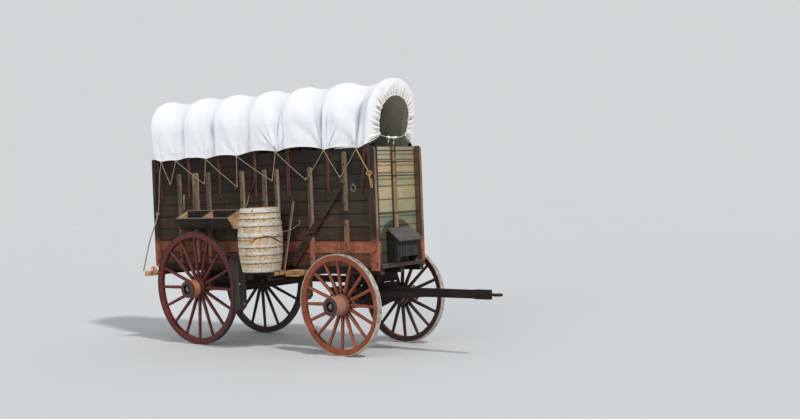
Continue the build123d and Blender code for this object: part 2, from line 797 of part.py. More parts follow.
trough_x = (rear_axle_x + trough_start, rear_axle_x + trough_start + trough_length)
trough_bottom = body_bottom + trough_rise
trough_top = trough_bottom + trough_back_height
front_top = trough_bottom + trough_front_height
trough_back = -post_outer
trough_face = trough_back - trough_top_depth
trough_foot = trough_back - trough_bottom_depth
outline = [
    (trough_back, trough_bottom), (trough_foot, trough_bottom), (trough_face, front_top),
    (trough_back, trough_top),
]
outside = prism_x(outline, trough_x)
inner_back = trough_back - trough_wall
inner_outline = [
    (inner_back, trough_bottom + trough_wall), (trough_foot + trough_wall * 0.7, trough_bottom + trough_wall),
    (trough_face + trough_wall * 1.2, front_top + 1), (trough_face + trough_wall * 1.2, trough_top + 1),
    (inner_back, trough_top + 1),
]
middle = (trough_x[0] + trough_x[1]) / 2
bays = (
    (trough_x[0] + trough_wall, middle - trough_wall / 2),
    (middle + trough_wall / 2, trough_x[1] - trough_wall),
)
trough = outside
for bay in bays:
    trough = trough - prism_x(inner_outline, bay)
write("feed_trough", trough)

# Barrels on their platforms

platforms = []
for side in (-1, 1):
    near, far = sorted((side * body_half_width, side * platform_half_width))
    planks = block((rear_axle_x + platform_start, rear_axle_x + platform_end), (near, far),
                   (sill_bottom, sill_bottom + platform_thickness))
    near, far = sorted((side * body_half_width, side * step_half_width))
    step = block((rear_axle_x + platform_end, rear_axle_x + step_end), (near, far),
                 (sill_bottom - step_drop, sill_bottom + platform_thickness))
    platforms.append(planks + step)
write("barrel_platforms", platforms)

barrel_foot = sill_bottom + platform_thickness
half_height = barrel_height / 2
bulge = barrel_bilge_radius - barrel_head_radius
stave_curve_radius = (half_height ** 2 + bulge ** 2) / (2 * bulge)


def barrel_radius(height):
    """Radius of the staves' outer faces at a height above the barrel's foot."""
    offset = height - half_height
    return barrel_bilge_radius - stave_curve_radius + math.sqrt(stave_curve_radius ** 2 - offset ** 2)


def barrel():
    profile = make_face(
        Polyline((barrel_head_radius, 0, 0), (0, 0, 0), (0, 0, barrel_height),
                 (barrel_head_radius, 0, barrel_height))
        + ThreePointArc((barrel_head_radius, 0, barrel_height), (barrel_bilge_radius, 0, half_height),
                        (barrel_head_radius, 0, 0)))
    whole = revolve(profile, Axis.Z)
    recess = extrude(Circle(barrel_head_radius - barrel_chime), barrel_head_recess)
    return whole - recess - Pos(0, 0, barrel_height - barrel_head_recess) * recess


def barrel_hoop(low, width):
    inner_low = barrel_radius(low) + seat_gap
    inner_high = barrel_radius(low + width) + seat_gap
    middle_radius = barrel_radius(low + width / 2) + seat_gap
    return ring([
        (inner_low, low), (inner_low + hoop_thickness, low),
        (middle_radius + hoop_thickness, low + width / 2), (inner_high + hoop_thickness, low + width),
        (inner_high, low + width), (middle_radius, low + width / 2),
    ])


barrel_places = [Pos(rear_axle_x + barrel_place, side * barrel_set_out, barrel_foot) for side in (-1, 1)]
write("water_barrels", [place * barrel() for place in barrel_places])
write("barrel_hoops", [place * barrel_hoop(low, width) for place in barrel_places for low, width in hoops])

# Tool box on the front wall, with a sloping lid hinged at its back edge

box_back = front_boards_x[1] + cleat_thickness
box_front = box_back + tool_box_depth
box_bottom = body_bottom + tool_box_bottom_rise
box_front_top = body_bottom + tool_box_front_top_rise
box_back_top = body_bottom + tool_box_back_top_rise
wall = tool_box_wall
end_outline = [
    (box_back, header_top), (box_back + tool_box_foot_depth, header_top), (box_front, box_bottom),
    (box_front, box_front_top), (box_back, box_back_top),
]
tray_outline = [
    (box_back, box_bottom), (box_front, box_bottom), (box_front, box_front_top),
    (box_front - wall, box_front_top), (box_front - wall, box_bottom + wall),
    (box_back + wall, box_bottom + wall), (box_back + wall, box_back_top - wall),
    (box_back, box_back_top - wall),
]
inner_half = tool_box_half_width - wall
box_ends = both_sides(prism_y(end_outline, (-tool_box_half_width, -inner_half)))
write("tool_box", prism_y(tray_outline, (-inner_half, inner_half)) + box_ends[0] + box_ends[1])

lid_slope = math.atan((box_back_top - box_front_top) / tool_box_depth)
lid_rise = (seat_gap + lid_thickness / 2) / math.cos(lid_slope)
pin_x = box_back + lid_pin_inset
pin_z = box_back_top - lid_pin_inset * math.tan(lid_slope) + lid_rise
lid_length = (tool_box_depth - lid_pin_inset + lid_front_overhang) / math.cos(lid_slope)
lid_plane = Plane(origin=(pin_x, 0, pin_z), x_dir=(math.cos(lid_slope), 0, -math.sin(lid_slope)),
                  z_dir=(math.sin(lid_slope), 0, math.cos(lid_slope)))
lid_half = tool_box_half_width + lid_side_overhang
lid_slab = Box(lid_length, 2 * lid_half, lid_thickness, align=(Align.MIN, Align.CENTER, Align.CENTER))
knuckle = rod(lid_thickness / 2 - 0.5, (pin_x, -lid_half, pin_z), (pin_x, lid_half, pin_z))
bore_half = lid_half + cut_over
pin_bore = rod(lid_pin_radius + running_gap, (pin_x, -bore_half, pin_z), (pin_x, bore_half, pin_z))
ear_half = tool_box_half_width + lid_ear_thickness
notch = Box(2 * lid_notch_depth, lid_ear_thickness + 2 * lid_ear_gap, 2 * lid_thickness)
notches = both_sides(lid_plane * Pos(0, -ear_half + lid_ear_thickness / 2, 0) * notch)
write("tool_box_lid", lid_plane * lid_slab + knuckle - pin_bore - notches[0] - notches[1])

lid_pin = rod(lid_pin_radius, (pin_x, -ear_half, pin_z), (pin_x, ear_half, pin_z))
ears = []
for y in ((-ear_half, -tool_box_half_width), (tool_box_half_width, ear_half)):
    ears.append(block(around(pin_x, 2 * lid_ear_radius), y, (pin_z - lid_ear_length, pin_z)))
    ears.append(rod(lid_ear_radius, (pin_x, y[0], pin_z), (pin_x, y[1], pin_z)))
write("lid_pin", lid_pin + ears[0] + ears[1] + ears[2] + ears[3])

# Brake lever: a flat bar that stands on the right platform and leans back and in

platform_top = sill_bottom + platform_thickness
lever_line = Vector(lever_lean_x, lever_lean_y, lever_height)
lever_sink = platform_thickness / 2 / lever_height
lever_origin = Vector(rear_axle_x + lever_place, -lever_set_out, platform_top) - lever_line * lever_sink
lever_plane = Plane(origin=lever_origin, x_dir=(lever_height, 0, -lever_lean_x), z_dir=lever_line)
lever_length = lever_line.length * (1 + lever_sink)
lever = extrude(lever_plane * Rectangle(lever_width, lever_thickness), lever_length)
under_platform_top = block(around(lever_origin.X, 1000), around(lever_origin.Y, 1000),
                           (sill_bottom, platform_top))
write("brake_lever", lever - under_platform_top)
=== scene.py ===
"""A tall freight wagon with a canvas cover: its cloth, ropes, irons and weathered finishes.

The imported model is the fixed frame. Places marked "from the rear axle" are in metres ahead of the
rear axle, and heights are above the ground.
"""
import math

import bpy
import numpy as np
from mathutils import Matrix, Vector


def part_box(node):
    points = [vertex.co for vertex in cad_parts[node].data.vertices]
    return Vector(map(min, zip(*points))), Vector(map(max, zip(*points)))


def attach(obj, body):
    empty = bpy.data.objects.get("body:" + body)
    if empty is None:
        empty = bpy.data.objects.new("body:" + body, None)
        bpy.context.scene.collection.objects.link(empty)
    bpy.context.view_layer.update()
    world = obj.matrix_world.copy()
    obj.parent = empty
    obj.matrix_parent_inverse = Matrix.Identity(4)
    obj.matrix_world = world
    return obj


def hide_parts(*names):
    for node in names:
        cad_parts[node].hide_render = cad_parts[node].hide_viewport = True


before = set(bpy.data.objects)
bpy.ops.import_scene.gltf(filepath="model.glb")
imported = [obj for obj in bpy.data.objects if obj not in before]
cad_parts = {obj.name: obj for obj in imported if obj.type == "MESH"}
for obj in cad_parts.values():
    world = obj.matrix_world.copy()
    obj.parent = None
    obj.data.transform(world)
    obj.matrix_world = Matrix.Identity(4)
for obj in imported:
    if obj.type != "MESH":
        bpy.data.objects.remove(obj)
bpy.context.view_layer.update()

bl_info = {
    "name": "Covered freight wagon",
    "version": (1, 0, 0),
    "blender": (4, 5, 0),
    "location": "3D View > Sidebar > Wagon",
    "description": "Dresses the wagon with its canvas, ropes, irons and weathered timber",
    "category": "Object",
}

# ------------------------------------------------------------------ places read from the frame


def corners(node):
    low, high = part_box(node)
    return np.array(low), np.array(high)


def middle(node):
    low, high = corners(node)
    return (low + high) / 2


def wheel_size(place):
    """The centre and the outer radius of a wheel."""
    low, high = corners("tyre_" + place)
    return (low + high) / 2, (high[0] - low[0]) / 2


AXLE = middle("tyre_rear_right")[0]
BOTTOM = corners("floor")[0][2]                 # underside of the body's floor
SIDE = corners("side_boards_right")             # corners of the near wall
SIDE_TOP = SIDE[1][2]
WALL = -SIDE[0][1]                              # centre plane to the outer faces of the walls
BOARD = (SIDE_TOP + 0.002 - BOTTOM) / 9         # pitch of the boards
POST = -corners("corner_posts")[0][1]           # centre plane to the outer faces of the posts
BRACE = -corners("side_braces")[0][1]
HALF = corners("cover")[1][1]                   # half the cover's width
SHOULDER = corners("cover")[1][2] - HALF        # where the bows' legs turn into their arcs
HEM = corners("cover")[0][2]
LEAN = math.radians(1.4)                        # of each wheel
RAKE = math.tan(math.radians(9))                # of the end bows
RAKE_FOOT = BOTTOM + 1.0
BARREL_X = float(middle("water_barrels")[0])
BARREL_OUT = 0.875                              # centre plane to the barrels' axes
BARREL_FOOT = float(corners("water_barrels")[0][2])
BARREL_HEAD = 0.2435                            # radius of a barrel's sunk heads
HOOPS = (0.004, 0.133, 0.244, 0.351, 0.499, 0.650, 0.754, 0.837)  # lower edges above the foot
STAVES = 24                                     # round a barrel
HUB_RADIUS = 0.1485
MOUTH_RADIUS = 0.0712                           # of a hub's outer mouth
FELLOE_DEPTH = 0.093
WEAVE = 2600.0                                  # pitch of the canvas weave


def tint(code):
    """A linear colour from a six-figure screen colour."""
    parts = np.array([int(code[i:i + 2], 16) for i in (0, 2, 4)]) / 255
    linear = np.where(parts <= 0.04045, parts / 12.92, ((parts + 0.055) / 1.055) ** 2.4)
    return (*linear.tolist(), 1.0)


# ------------------------------------------------------------------ shaders


def operator(operation, flipped=False):
    """A method that adds one Math node. Flipped, the other value comes first."""
    def apply(self, *others):
        values = (*others, self) if flipped else (self, *others)
        return self.finish.node("Math", {"operation": operation}, dict(enumerate(values)))
    return apply


class Value:
    """A number or colour in a shader. Sums on numbers add their Math nodes."""

    def __init__(self, finish, socket):
        self.finish = finish
        self.socket = socket

    __add__, __radd__ = operator("ADD"), operator("ADD", True)
    __sub__, __rsub__ = operator("SUBTRACT"), operator("SUBTRACT", True)
    __mul__, __rmul__ = operator("MULTIPLY"), operator("MULTIPLY", True)
    __truediv__, __rtruediv__ = operator("DIVIDE"), operator("DIVIDE", True)
    __pow__, __rpow__ = operator("POWER"), operator("POWER", True)
    above, below = operator("GREATER_THAN"), operator("LESS_THAN")
    floor, part = operator("FLOOR"), operator("FRACT")      # part is what is left over whole numbers
    size, sine = operator("ABSOLUTE"), operator("SINE")
    angle = operator("ARCTAN2")                     # the angle whose tangent is this over another

    def rise(self, start, end):
        """0 at start and 1 at end, with soft ends. It falls where end is below start."""
        return self.finish.node("MapRange", {"interpolation_type": "SMOOTHSTEP"},
                                {0: self, 1: start, 2: end, 3: 0.0, 4: 1.0})


class Finish:
    """A material, and the one method that makes its nodes."""

    def __init__(self, name, **constants):
        self.material = bpy.data.materials.new(name)
        self.material.use_nodes = True
        self.tree = self.material.node_tree
        self.surface = self.tree.nodes["Principled BSDF"]
        for key, value in constants.items():
            self.surface.inputs[key.replace("_", " ")].default_value = value
        self.object_place = self.node("TexCoord", output="Object")
        self.colour = None

    def node(self, kind, settings=None, inputs=None, output=0):
        """Add a node. An input is a value, a constant or a screen colour."""
        node = self.tree.nodes.new("ShaderNode" + kind)
        for key, value in (settings or {}).items():
            setattr(node, key, value)
        for key, value in (inputs or {}).items():
            if isinstance(value, Value):
                self.tree.links.new(value.socket, node.inputs[key])
            else:
                node.inputs[key].default_value = tint(value) if isinstance(value, str) else value
        return Value(self, node.outputs[output])

    def mapped(self, scale=(1, 1, 1), turn=(0, 0, 0), move=(0, 0, 0), source=None):
        place = source or self.object_place
        return self.node("Mapping", None, {0: place, 1: move, 2: turn, 3: scale})

    def noise(self, scale, detail, roughness, stretch=(1, 1, 1), source=None):
        place = self.mapped(stretch, source=source)
        return self.node("TexNoise", None, {"Vector": place, "Scale": scale, "Detail": detail,
                                            "Roughness": roughness})

    def grain(self, along, scale=1.6, detail=5.0, roughness=0.6):
        """Coarse and fine grain along an axis."""
        return (self.noise(scale, detail, roughness, GRAIN[along]),
                self.noise(1.0, 3.0, 0.6, FINE[along]))

    def axes(self, source=None):
        split = self.node("SeparateXYZ", None, {0: source or self.object_place}).socket.node
        return [Value(self, part) for part in split.outputs]

    def cloth(self):
        """U and V of the piece's own map: a share of the way round, and metres along."""
        return self.axes(self.node("UVMap", {"uv_map": "cloth"}))[:2]

    def facing(self):
        """The surface's own direction along X, Y and Z."""
        return self.axes(self.node("NewGeometry", output="Normal"))

    def blend(self, factor, first, second):
        return self.node("Mix", {"data_type": "RGBA"}, {0: factor, 6: first, 7: second}, output=2)

    def lay(self, share, over):
        """Cover the colour so far with a share of another."""
        self.colour = self.blend(share, self.colour, over)

    def steps(self, place, codes):
        """A ramp from 0 to 1 in equal steps, one to a colour."""
        picked = self.node("ValToRGB", None, {0: place})
        ramp = picked.socket.node.color_ramp
        ramp.interpolation = "CONSTANT"
        while len(ramp.elements) < len(codes):
            ramp.elements.new(0.5)
        for i, (element, code) in enumerate(zip(ramp.elements, codes)):
            element.position = i / len(codes)
            element.color = tint(code)
        return picked

    def chance(self, number, seed):
        """A random number for each whole number."""
        return self.node("TexWhiteNoise", {"noise_dimensions": "1D"}, {"W": number + seed})

    def put(self, key, value):
        self.tree.links.new(value.socket, self.surface.inputs[key])

    def done(self, height=None, depth=0.0, strength=1.0):
        """Link the colour and, where there is a height, the bump that it makes."""
        self.put("Base Color", self.colour)
        if height:
            self.put("Normal", self.node("Bump", None, {"Height": height, "Distance": depth,
                                                        "Strength": strength}))
        return self


GRAIN = {"x": (1.2, 16, 16), "y": (16, 1.2, 16), "z": (16, 16, 1.2)}
FINE = {"x": (4, 90, 90), "y": (90, 4, 90), "z": (90, 90, 4)}


def timber(name, light, dark, along="x"):
    """Weathered timber: coarse and fine grain along one axis, long dark checks and blotches."""
    finish = Finish(name, Roughness=0.8, Specular_IOR_Level=0.22)
    coarse, fine = finish.grain(along)
    blotch = finish.noise(2.3, 4.0, 0.6)
    checks = coarse.rise(0.60, 0.68) * fine.rise(0.42, 0.62)
    tone = coarse.rise(0.3, 0.7) * 0.55 + fine * 0.35 + blotch.rise(0.3, 0.7) * 0.4 - 0.15
    finish.colour = finish.blend(tone, dark, light)
    finish.lay(checks * 0.75, "17120e")
    return finish.done(coarse * 0.5 + fine * 0.5 - checks * 0.8, 0.0015)


def wall_boards(name, stops, patches, red, along="x", weather=1.0, rear_shade=0.0):
    """A wall of boards: a colour for each board, grain along it, patches of two more colours, old
    paint low down, knots, dark seams and rain stains that run down. rear_shade paints shade over
    its rear part, where the barrel and the trough throw their shadow. Side walls take painted
    light, a paler brown, on their inner faces near the front. End walls are greener on the far
    half, and the front one has a dark patch in the shape of an arch."""
    finish = Finish(name, Roughness=0.85, Specular_IOR_Level=0.2)
    x, y, z = finish.axes()
    height = z - BOTTOM
    row = (height / BOARD).floor()
    within = (height / BOARD).part()
    finish.colour = finish.steps((row + 0.5) / len(stops), stops)
    coarse, fine = finish.grain(along, 1.7, 6.0, 0.62)
    blotch = finish.noise(1.9, 5.0, 0.62, (1, 1, 1.6))
    other = finish.noise(2.7, 4.0, 0.6, (1, 1, 1.3), finish.mapped(move=(3.1, 5.7, 1.9)))
    streak = finish.noise(1.4, 4.0, 0.6, (9, 9, 0.55))
    mottle = finish.noise(7.5, 4.0, 0.65)
    broad = finish.noise(1.2, 2.0, 0.5)
    finish.lay(blotch.rise(0.42, 0.66) * 0.55, patches[0])
    finish.lay(other.rise(0.46, 0.70) * 0.55, patches[1])
    finish.lay((coarse * 0.7 + fine * 0.3).rise(0.42, 0.68) * 0.55 * weather, "2c241c")
    upper = (height - BOARD).rise(-0.01, 0.01)
    paint = height.rise(0.37, 0.31) * mottle.rise(0.74, 0.36) * (0.3 + upper * 0.7)
    high_paint = height.rise(0.9, 0.3) * (blotch * 0.75 + mottle * 0.25).rise(0.48, 0.66)
    finish.lay(high_paint * 0.5 * red, "824a3a")
    finish.lay(paint * 0.9 * red, finish.blend(mottle.rise(0.35, 0.65), "964f3b", "d08b6c"))
    knots = finish.noise(9.0, 1.0, 0.4, (0.5, 0.5, 1)).rise(0.74, 0.79)
    finish.lay(knots * 0.6 * weather, "1c1510")
    finish.lay(streak.rise(0.52, 0.70) * 0.5 * weather, "1d1813")
    # painted shade: the rear part of the wall darkens, as in the shadow of the barrel and the trough,
    # less at mid height
    behind = (x + broad * 0.8).rise(AXLE + 3.1, AXLE + 2.3)
    off_middle = (height - 0.75).size().rise(0.25, 0.5)
    finish.lay(behind * (0.45 + off_middle * 0.55) * rear_shade, "200f0b")
    edge = within.rise(0.09, 0.03) + within.rise(0.91, 0.98)
    finish.lay(edge * 0.6, "17120e")
    if along == "x":
        # painted light: the side walls' inner faces near the front are lightened to a paler brown
        inside = (y * finish.facing()[1]).below(-0.2) * x.above(AXLE + 3.2)
        finish.lay(inside * 0.75, finish.blend(mottle, "5a3a28", "7d6a4a"))
    else:
        finish.lay((y + (mottle - 0.5) * 0.5).rise(-0.06, 0.2) * 0.4, "70765a")
        # a dark patch in the shape of an arch on the front wall
        rise = height - 0.33
        arch = (y * y + (rise + rise.size()) * (rise + rise.size()) * 0.36) ** 0.5
        dark_arch = (arch + (mottle - 0.5) * 0.03).rise(0.395, 0.355)
        finish.lay(dark_arch * x.above(0.0) * 0.78, "2c352e")
    return finish.done(coarse * 0.5 + fine * 0.4 - edge * 0.8, 0.002)


def lit_and_shaded_wood(name, sides, lit_fronts, along="z", foot=None, cap=None, lit_inner=0.0, height=0.62, own=0.0):
    """Wood with painted light: dark shaded sides, and paler lit faces towards the wagon's front.
    foot gives two colours of old paint round its foot up to a height, cap a colour for its upper
    faces, painted top light where it is paler, lit_inner how far the sides that face the centre
    plane take the paler painted light, and own how far single pieces differ."""
    finish = Finish(name, Roughness=0.82, Specular_IOR_Level=0.2)
    x, y, z = finish.axes()
    nx, ny, nz = finish.facing()
    coarse, fine = finish.grain(along)
    mottle = finish.noise(9.0, 4.0, 0.65)
    grain = (coarse * 0.6 + fine * 0.4).rise(0.36, 0.64)
    dark = finish.blend(grain, *sides)
    pale = finish.blend(grain, *lit_fronts)
    # painted light: faces towards the front, and by lit_inner the sides facing the centre plane, take
    # the pale colour
    dark = finish.blend((y * ny).below(-0.2) * lit_inner, dark, pale)
    finish.colour = finish.blend(nx.rise(0.35, 0.75) * x.above(AXLE - 0.8), dark, pale)
    if own:
        finish.lay(finish.chance(((x - AXLE) * 4 + 0.5).floor(), 5.0) * own, "2a1d15")
    if foot:
        rust = (z - BOTTOM).rise(height, height * 0.48) * mottle.rise(0.72, 0.42)
        finish.lay(rust * 0.85, finish.blend(mottle, *foot))
    # upper faces: where cap is paler than the wood, it is painted top light
    if cap:
        finish.lay(nz.rise(0.3, 0.8) * 0.9, cap)
    return finish.done(coarse * 0.6 + fine * 0.4, 0.0016)


def wheel_paint(name, centre, side, radius, light, dark, dust, nave, nose, seat, grime_and_shade, band):
    """Old wheel paint about one hub. Distance from the axle and along it tell the rim's eight
    joints, the hub's bands and grooves, its dark face and its mouth. Inner faces take a near-black
    painted shade with some dirt, and the spokes take painted shade on their flanks and near the hub."""
    finish = Finish(name, Specular_IOR_Level=0.38)
    centred = finish.mapped(move=tuple(float(-c) for c in centre))
    x, y, z = finish.axes(finish.mapped(turn=(side * LEAN, 0, 0), source=centred))
    out = y * side
    reach = (x * x + z * z) ** 0.5
    turn = (z.angle(x) / (math.pi / 4) + 0.25).part()
    felloe = reach.above(radius - FELLOE_DEPTH)
    joint = felloe * (turn - 0.5).size().below(0.006)
    mottle = finish.noise(9.0, 5.0, 0.65)
    broad = finish.noise(2.6, 3.0, 0.5)
    grit = finish.noise(38.0, 3.0, 0.6)
    finish.colour = finish.blend(broad * 0.6 + mottle * 0.5 - 0.08, dark, light)
    finish.lay(mottle.rise(0.55, 0.72) * 0.6, dust)
    chips = grit.rise(0.60, 0.66) * mottle.rise(0.45, 0.6)
    finish.lay(chips * 0.8, "3a2018")
    finish.lay(joint * 0.85, "1c0f0b")
    hub = reach.below(HUB_RADIUS)
    nave_skin = finish.blend(mottle.rise(0.35, 0.65), nave, finish.blend(broad, dust, nave))
    finish.lay(hub * 0.85, nave_skin)
    grooves = ((out - band).size().below(0.003) + (out - 0.155).size().below(0.003)
               + (out - 0.1).size().below(0.002))
    finish.lay(hub * grooves * 0.75, "2a1a15")
    finish.lay(hub * out.above(0.157) * 0.8, nose)
    finish.lay(hub * out.above(-0.11) * out.below(band) * 0.85, seat)
    finish.lay(hub * out.above(0.2015), finish.blend(mottle, "2b1b1c", "553636"))
    finish.lay(reach.below(MOUTH_RADIUS) * 0.9, "120d0c")
    # painted shade with some dirt: faces turned in towards the wagon go near black
    outwards = finish.facing()[1] * side
    finish.lay(outwards.rise(-0.15, -0.6) * 0.9, grime_and_shade)
    # painted shade: the spokes darken on their flanks and near the hub
    spokes = reach.above(HUB_RADIUS) * (1 - felloe)
    spoke_shade = outwards.rise(0.75, 0.25) * 0.5 + reach.rise(0.25, 0.16) * 0.45
    finish.lay(spokes * spoke_shade, "1f100c")
    finish.put("Roughness", 0.34 + mottle * 0.36)
    return finish.done(mottle * 0.4 + grit * 0.3 - joint * 1.5 - chips * 0.4, 0.0012)


def iron(name, dark, light, shine=0.45, metal=0.6):
    """Forged iron with rust blooms."""
    finish = Finish(name, Metallic=metal)
    bloom = finish.noise(14.0, 5.0, 0.65)
    pits = finish.noise(98.0, 2.0, 0.5)
    finish.colour = finish.blend(bloom.rise(0.3, 0.7), dark, light)
    finish.put("Roughness", shine + bloom * 0.4)
    return finish.done(pits * 0.5 + bloom * 0.5, 0.0006)


def canvas(name, light, shade, folded=True):
    """Washed canvas: a weave from the cloth's own map and a fine crumple, with painted shade in a
    cooler tone deep in the folds, in the creases and before each bow, and a warm dark tone in the
    pleat valleys of the ends. The ends are a warmer cream, partly the cloth's own tone and partly
    painted shade."""
    finish = Finish(name, Roughness=0.9, Sheen_Weight=0.12, Specular_IOR_Level=0.3)
    u, v = finish.cloth()
    wave = (u * WEAVE).sine() * (v * WEAVE).sine()
    crumple = finish.noise(11.0, 5.0, 0.6, (1, 1, 0.5))
    grime_and_shade = finish.noise(5.0, 5.0, 0.65, (1, 1, 0.35))
    finish.colour = finish.blend(grime_and_shade.rise(0.56, 0.80) * 0.15, light, shade)
    if folded:
        fold_shade, gathered = [finish.node("Attribute", {"attribute_name": key}, output="Fac")
                            for key in ("fold_shade", "gathered")]
        # painted shade: fold_shade takes the cloth to the cool shade tone, and in the ends' pleats to a
        # warm dark one; the cream on the gathered ends is partly painted shade
        tone = finish.blend(gathered, shade, "5d5346")
        finish.lay(gathered * 0.65, "e4dcd0")
        finish.lay(fold_shade.rise(0.42, 1.0) * (gathered * 0.1 + 0.85), tone)
    return finish.done(wave * 0.05 + crumple * 0.9 + grime_and_shade * 0.4, 0.005, 0.5)


def lining(name):
    """The canvas seen from inside, with its light painted in: painted shade makes it brown deep
    inside, painted light leaves it cream near the front and greyer low down.
    """
    finish = Finish(name, Roughness=0.95, Specular_IOR_Level=0.1)
    x, y, z = finish.axes()
    broad = finish.noise(2.0, 3.0, 0.5)
    # painted shade: brown deep inside the cover, cream near the front hole as painted light
    deep = (x + broad * 0.8 - 0.4).rise(AXLE + 2.6, AXLE + 1.4)
    finish.colour = finish.blend(deep, "e6dcc8", "e0ae78")
    finish.lay(broad.rise(0.4, 0.7) * 0.3, "b39d7c")
    # painted light: greyer and cooler low down
    finish.lay((z + broad * 0.3 + y * 0.4).rise(3.62, 3.2) * 0.7, "b3b4ae")
    return finish.done()


def staves(name):
    """Barrel staves: the angle about the barrel's axis gives each stave its own tone and the dark
    seams between, with orange-brown stains, weathered grey, knots and rust under each hoop."""
    finish = Finish(name, Roughness=0.85, Specular_IOR_Level=0.25)
    x, y, z = finish.axes()
    x = x - BARREL_X
    y = y.size() - BARREL_OUT
    angle = y.angle(x) / (2 * math.pi) * STAVES
    own = finish.chance(angle.floor(), 7.0)
    seam = angle.part().rise(0.06, 0.02) + angle.part().rise(0.94, 0.98)
    side = (x * x + y * y).above(BARREL_HEAD ** 2)
    rust = 0.0
    for low in HOOPS:
        over = z - (BARREL_FOOT + low)
        rust = over.rise(-0.022, -0.002) * over.below(0.0) + rust
    streak = finish.noise(2.5, 5.0, 0.62, (10, 10, 1.1))
    mottle = finish.noise(13.0, 5.0, 0.65, (1, 1, 1.8))
    broad = finish.noise(4.0, 4.0, 0.6, (1, 1, 2.5))
    knots = finish.noise(30.0, 2.0, 0.5, (1, 1, 2.6))
    finish.colour = finish.blend(own, "c0a17c", "d6c2a4")
    finish.lay(broad.rise(0.46, 0.62) * 0.6, "b1ae9f")
    finish.lay(streak.rise(0.45, 0.68) * 0.6, "8d8069")
    finish.lay(mottle.rise(0.50, 0.62) * 0.65, "b07a47")
    finish.lay(knots.rise(0.62, 0.68) * 0.75, "6a4426")
    finish.lay(rust * side * knots.rise(0.36, 0.52), "51341f")
    finish.lay(seam * side * 0.4, "5b4634")
    return finish.done(mottle * 0.3 + streak * 0.4 - seam * side, 0.0018)


def rope_finish(name, light, dark):
    """Laid rope: slanting strands from the rope's own map, round it and along it."""
    finish = Finish(name, Roughness=0.9)
    u, v = finish.cloth()
    ridge = ((u * 3.0 + v * 90.0).part() - 0.5).size() * 2.0
    finish.colour = finish.blend(ridge.rise(0.55, 0.95), light, dark)
    finish.lay(finish.noise(60.0, 3.0, 0.6) * 0.4, dark)
    return finish.done(1 - ridge, 0.0012)


# ------------------------------------------------------------------ surfaces


def mesh_piece(name, grids, finish, slot, body="wagon", form="tube", smooth=True):
    """One piece from grids of points, with rows along u and columns along v. A tube meets itself
    along u and has flat ends, a ring meets itself along v too, and a sheet has open edges."""
    vertices, faces, flat, uvs = [], [], [], []
    start = 0
    for grid in grids:
        rows, columns = grid.shape[:2]
        here = np.arange(rows * columns).reshape(rows, columns) + start
        across = np.roll(here, -1, 0)
        if form == "tube":
            flat += [here[::-1, 0].tolist(), here[:, -1].tolist()]
        if form == "sheet":
            here, across = here[:-1], across[:-1]
        if form == "ring":
            quads = np.stack([here, across, np.roll(across, -1, 1), np.roll(here, -1, 1)], -1)
        else:
            quads = np.stack([here[:, :-1], across[:, :-1], across[:, 1:], here[:, 1:]], -1)
        faces.extend(quads.reshape(-1, 4).tolist())
        vertices.append(grid.reshape(-1, 3))
        run = np.linalg.norm(np.diff(grid.mean(0), axis=0), axis=1)
        run = np.concatenate([[0.0], np.cumsum(run)])
        around = np.arange(rows) / rows
        uvs.append(np.stack(np.meshgrid(around, run, indexing="ij"), -1).reshape(-1, 2))
        start += rows * columns
    mesh = bpy.data.meshes.new(name)
    mesh.from_pydata(np.concatenate(vertices).tolist(), [], faces + flat)
    layer = mesh.uv_layers.new(name="cloth")
    loops = np.zeros(len(mesh.loops), np.int32)
    mesh.loops.foreach_get("vertex_index", loops)
    layer.data.foreach_set("uv", np.concatenate(uvs)[loops].ravel())
    mesh.polygons.foreach_set("use_smooth", [smooth] * len(faces) + [False] * len(flat))
    mesh.materials.append(finish.material)
    piece = bpy.data.objects.new(name, mesh)
    bpy.context.scene.collection.objects.link(piece)
    if slot:
        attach(piece, body)
    return piece


def frames(path, closed=False):
    """Two directions across a path at each of its points, steady along it."""
    if closed:
        tangent = np.roll(path, -1, 0) - np.roll(path, 1, 0)
    else:
        tangent = np.gradient(path, axis=0)
    tangent /= np.linalg.norm(tangent, axis=1, keepdims=True)
    spread = np.abs(tangent).max(0)
    reference = np.eye(3)[int(np.argmin(spread))]
    first = np.cross(tangent, reference)
    first /= np.linalg.norm(first, axis=1, keepdims=True)
    return first, np.cross(tangent, first)


def circle(first, second, sides):
    """Directions round a section: cos a * first + sin a * second."""
    angle = np.arange(sides)[:, None, None] * 2 * np.pi / sides
    return np.cos(angle) * first + np.sin(angle) * second


def tube(path, radius, sides=8, closed=False):
    """A round section carried along a path: path + radius (cos a * first + sin a * second)."""
    path = np.asarray(path, float)
    radius = np.broadcast_to(np.asarray(radius, float), len(path))[None, :, None]
    return path[None] + radius * circle(*frames(path, closed), sides)


def curve(points, count=24):
    """A smooth line through points: a cubic Hermite with the neighbours' mean slopes."""
    points = np.asarray(points, float)
    slopes = np.gradient(points, axis=0)
    place = np.linspace(0, len(points) - 1, count)
    i = np.minimum(place.astype(int), len(points) - 2)
    t = (place - i)[:, None]
    return ((2 * t ** 3 - 3 * t ** 2 + 1) * points[i] + (t ** 3 - 2 * t ** 2 + t) * slopes[i]
            + (3 * t ** 2 - 2 * t ** 3) * points[i + 1] + (t ** 3 - t ** 2) * slopes[i + 1])


def sagging(start, end, drop, count=14):
    """A cord between two points that hangs drop below the straight line at its middle."""
    t = np.linspace(0, 1, count)[:, None]
    line = np.asarray(start) * (1 - t) + np.asarray(end) * t
    line[:, 2] -= (4 * drop * t * (1 - t))[:, 0]
    return line


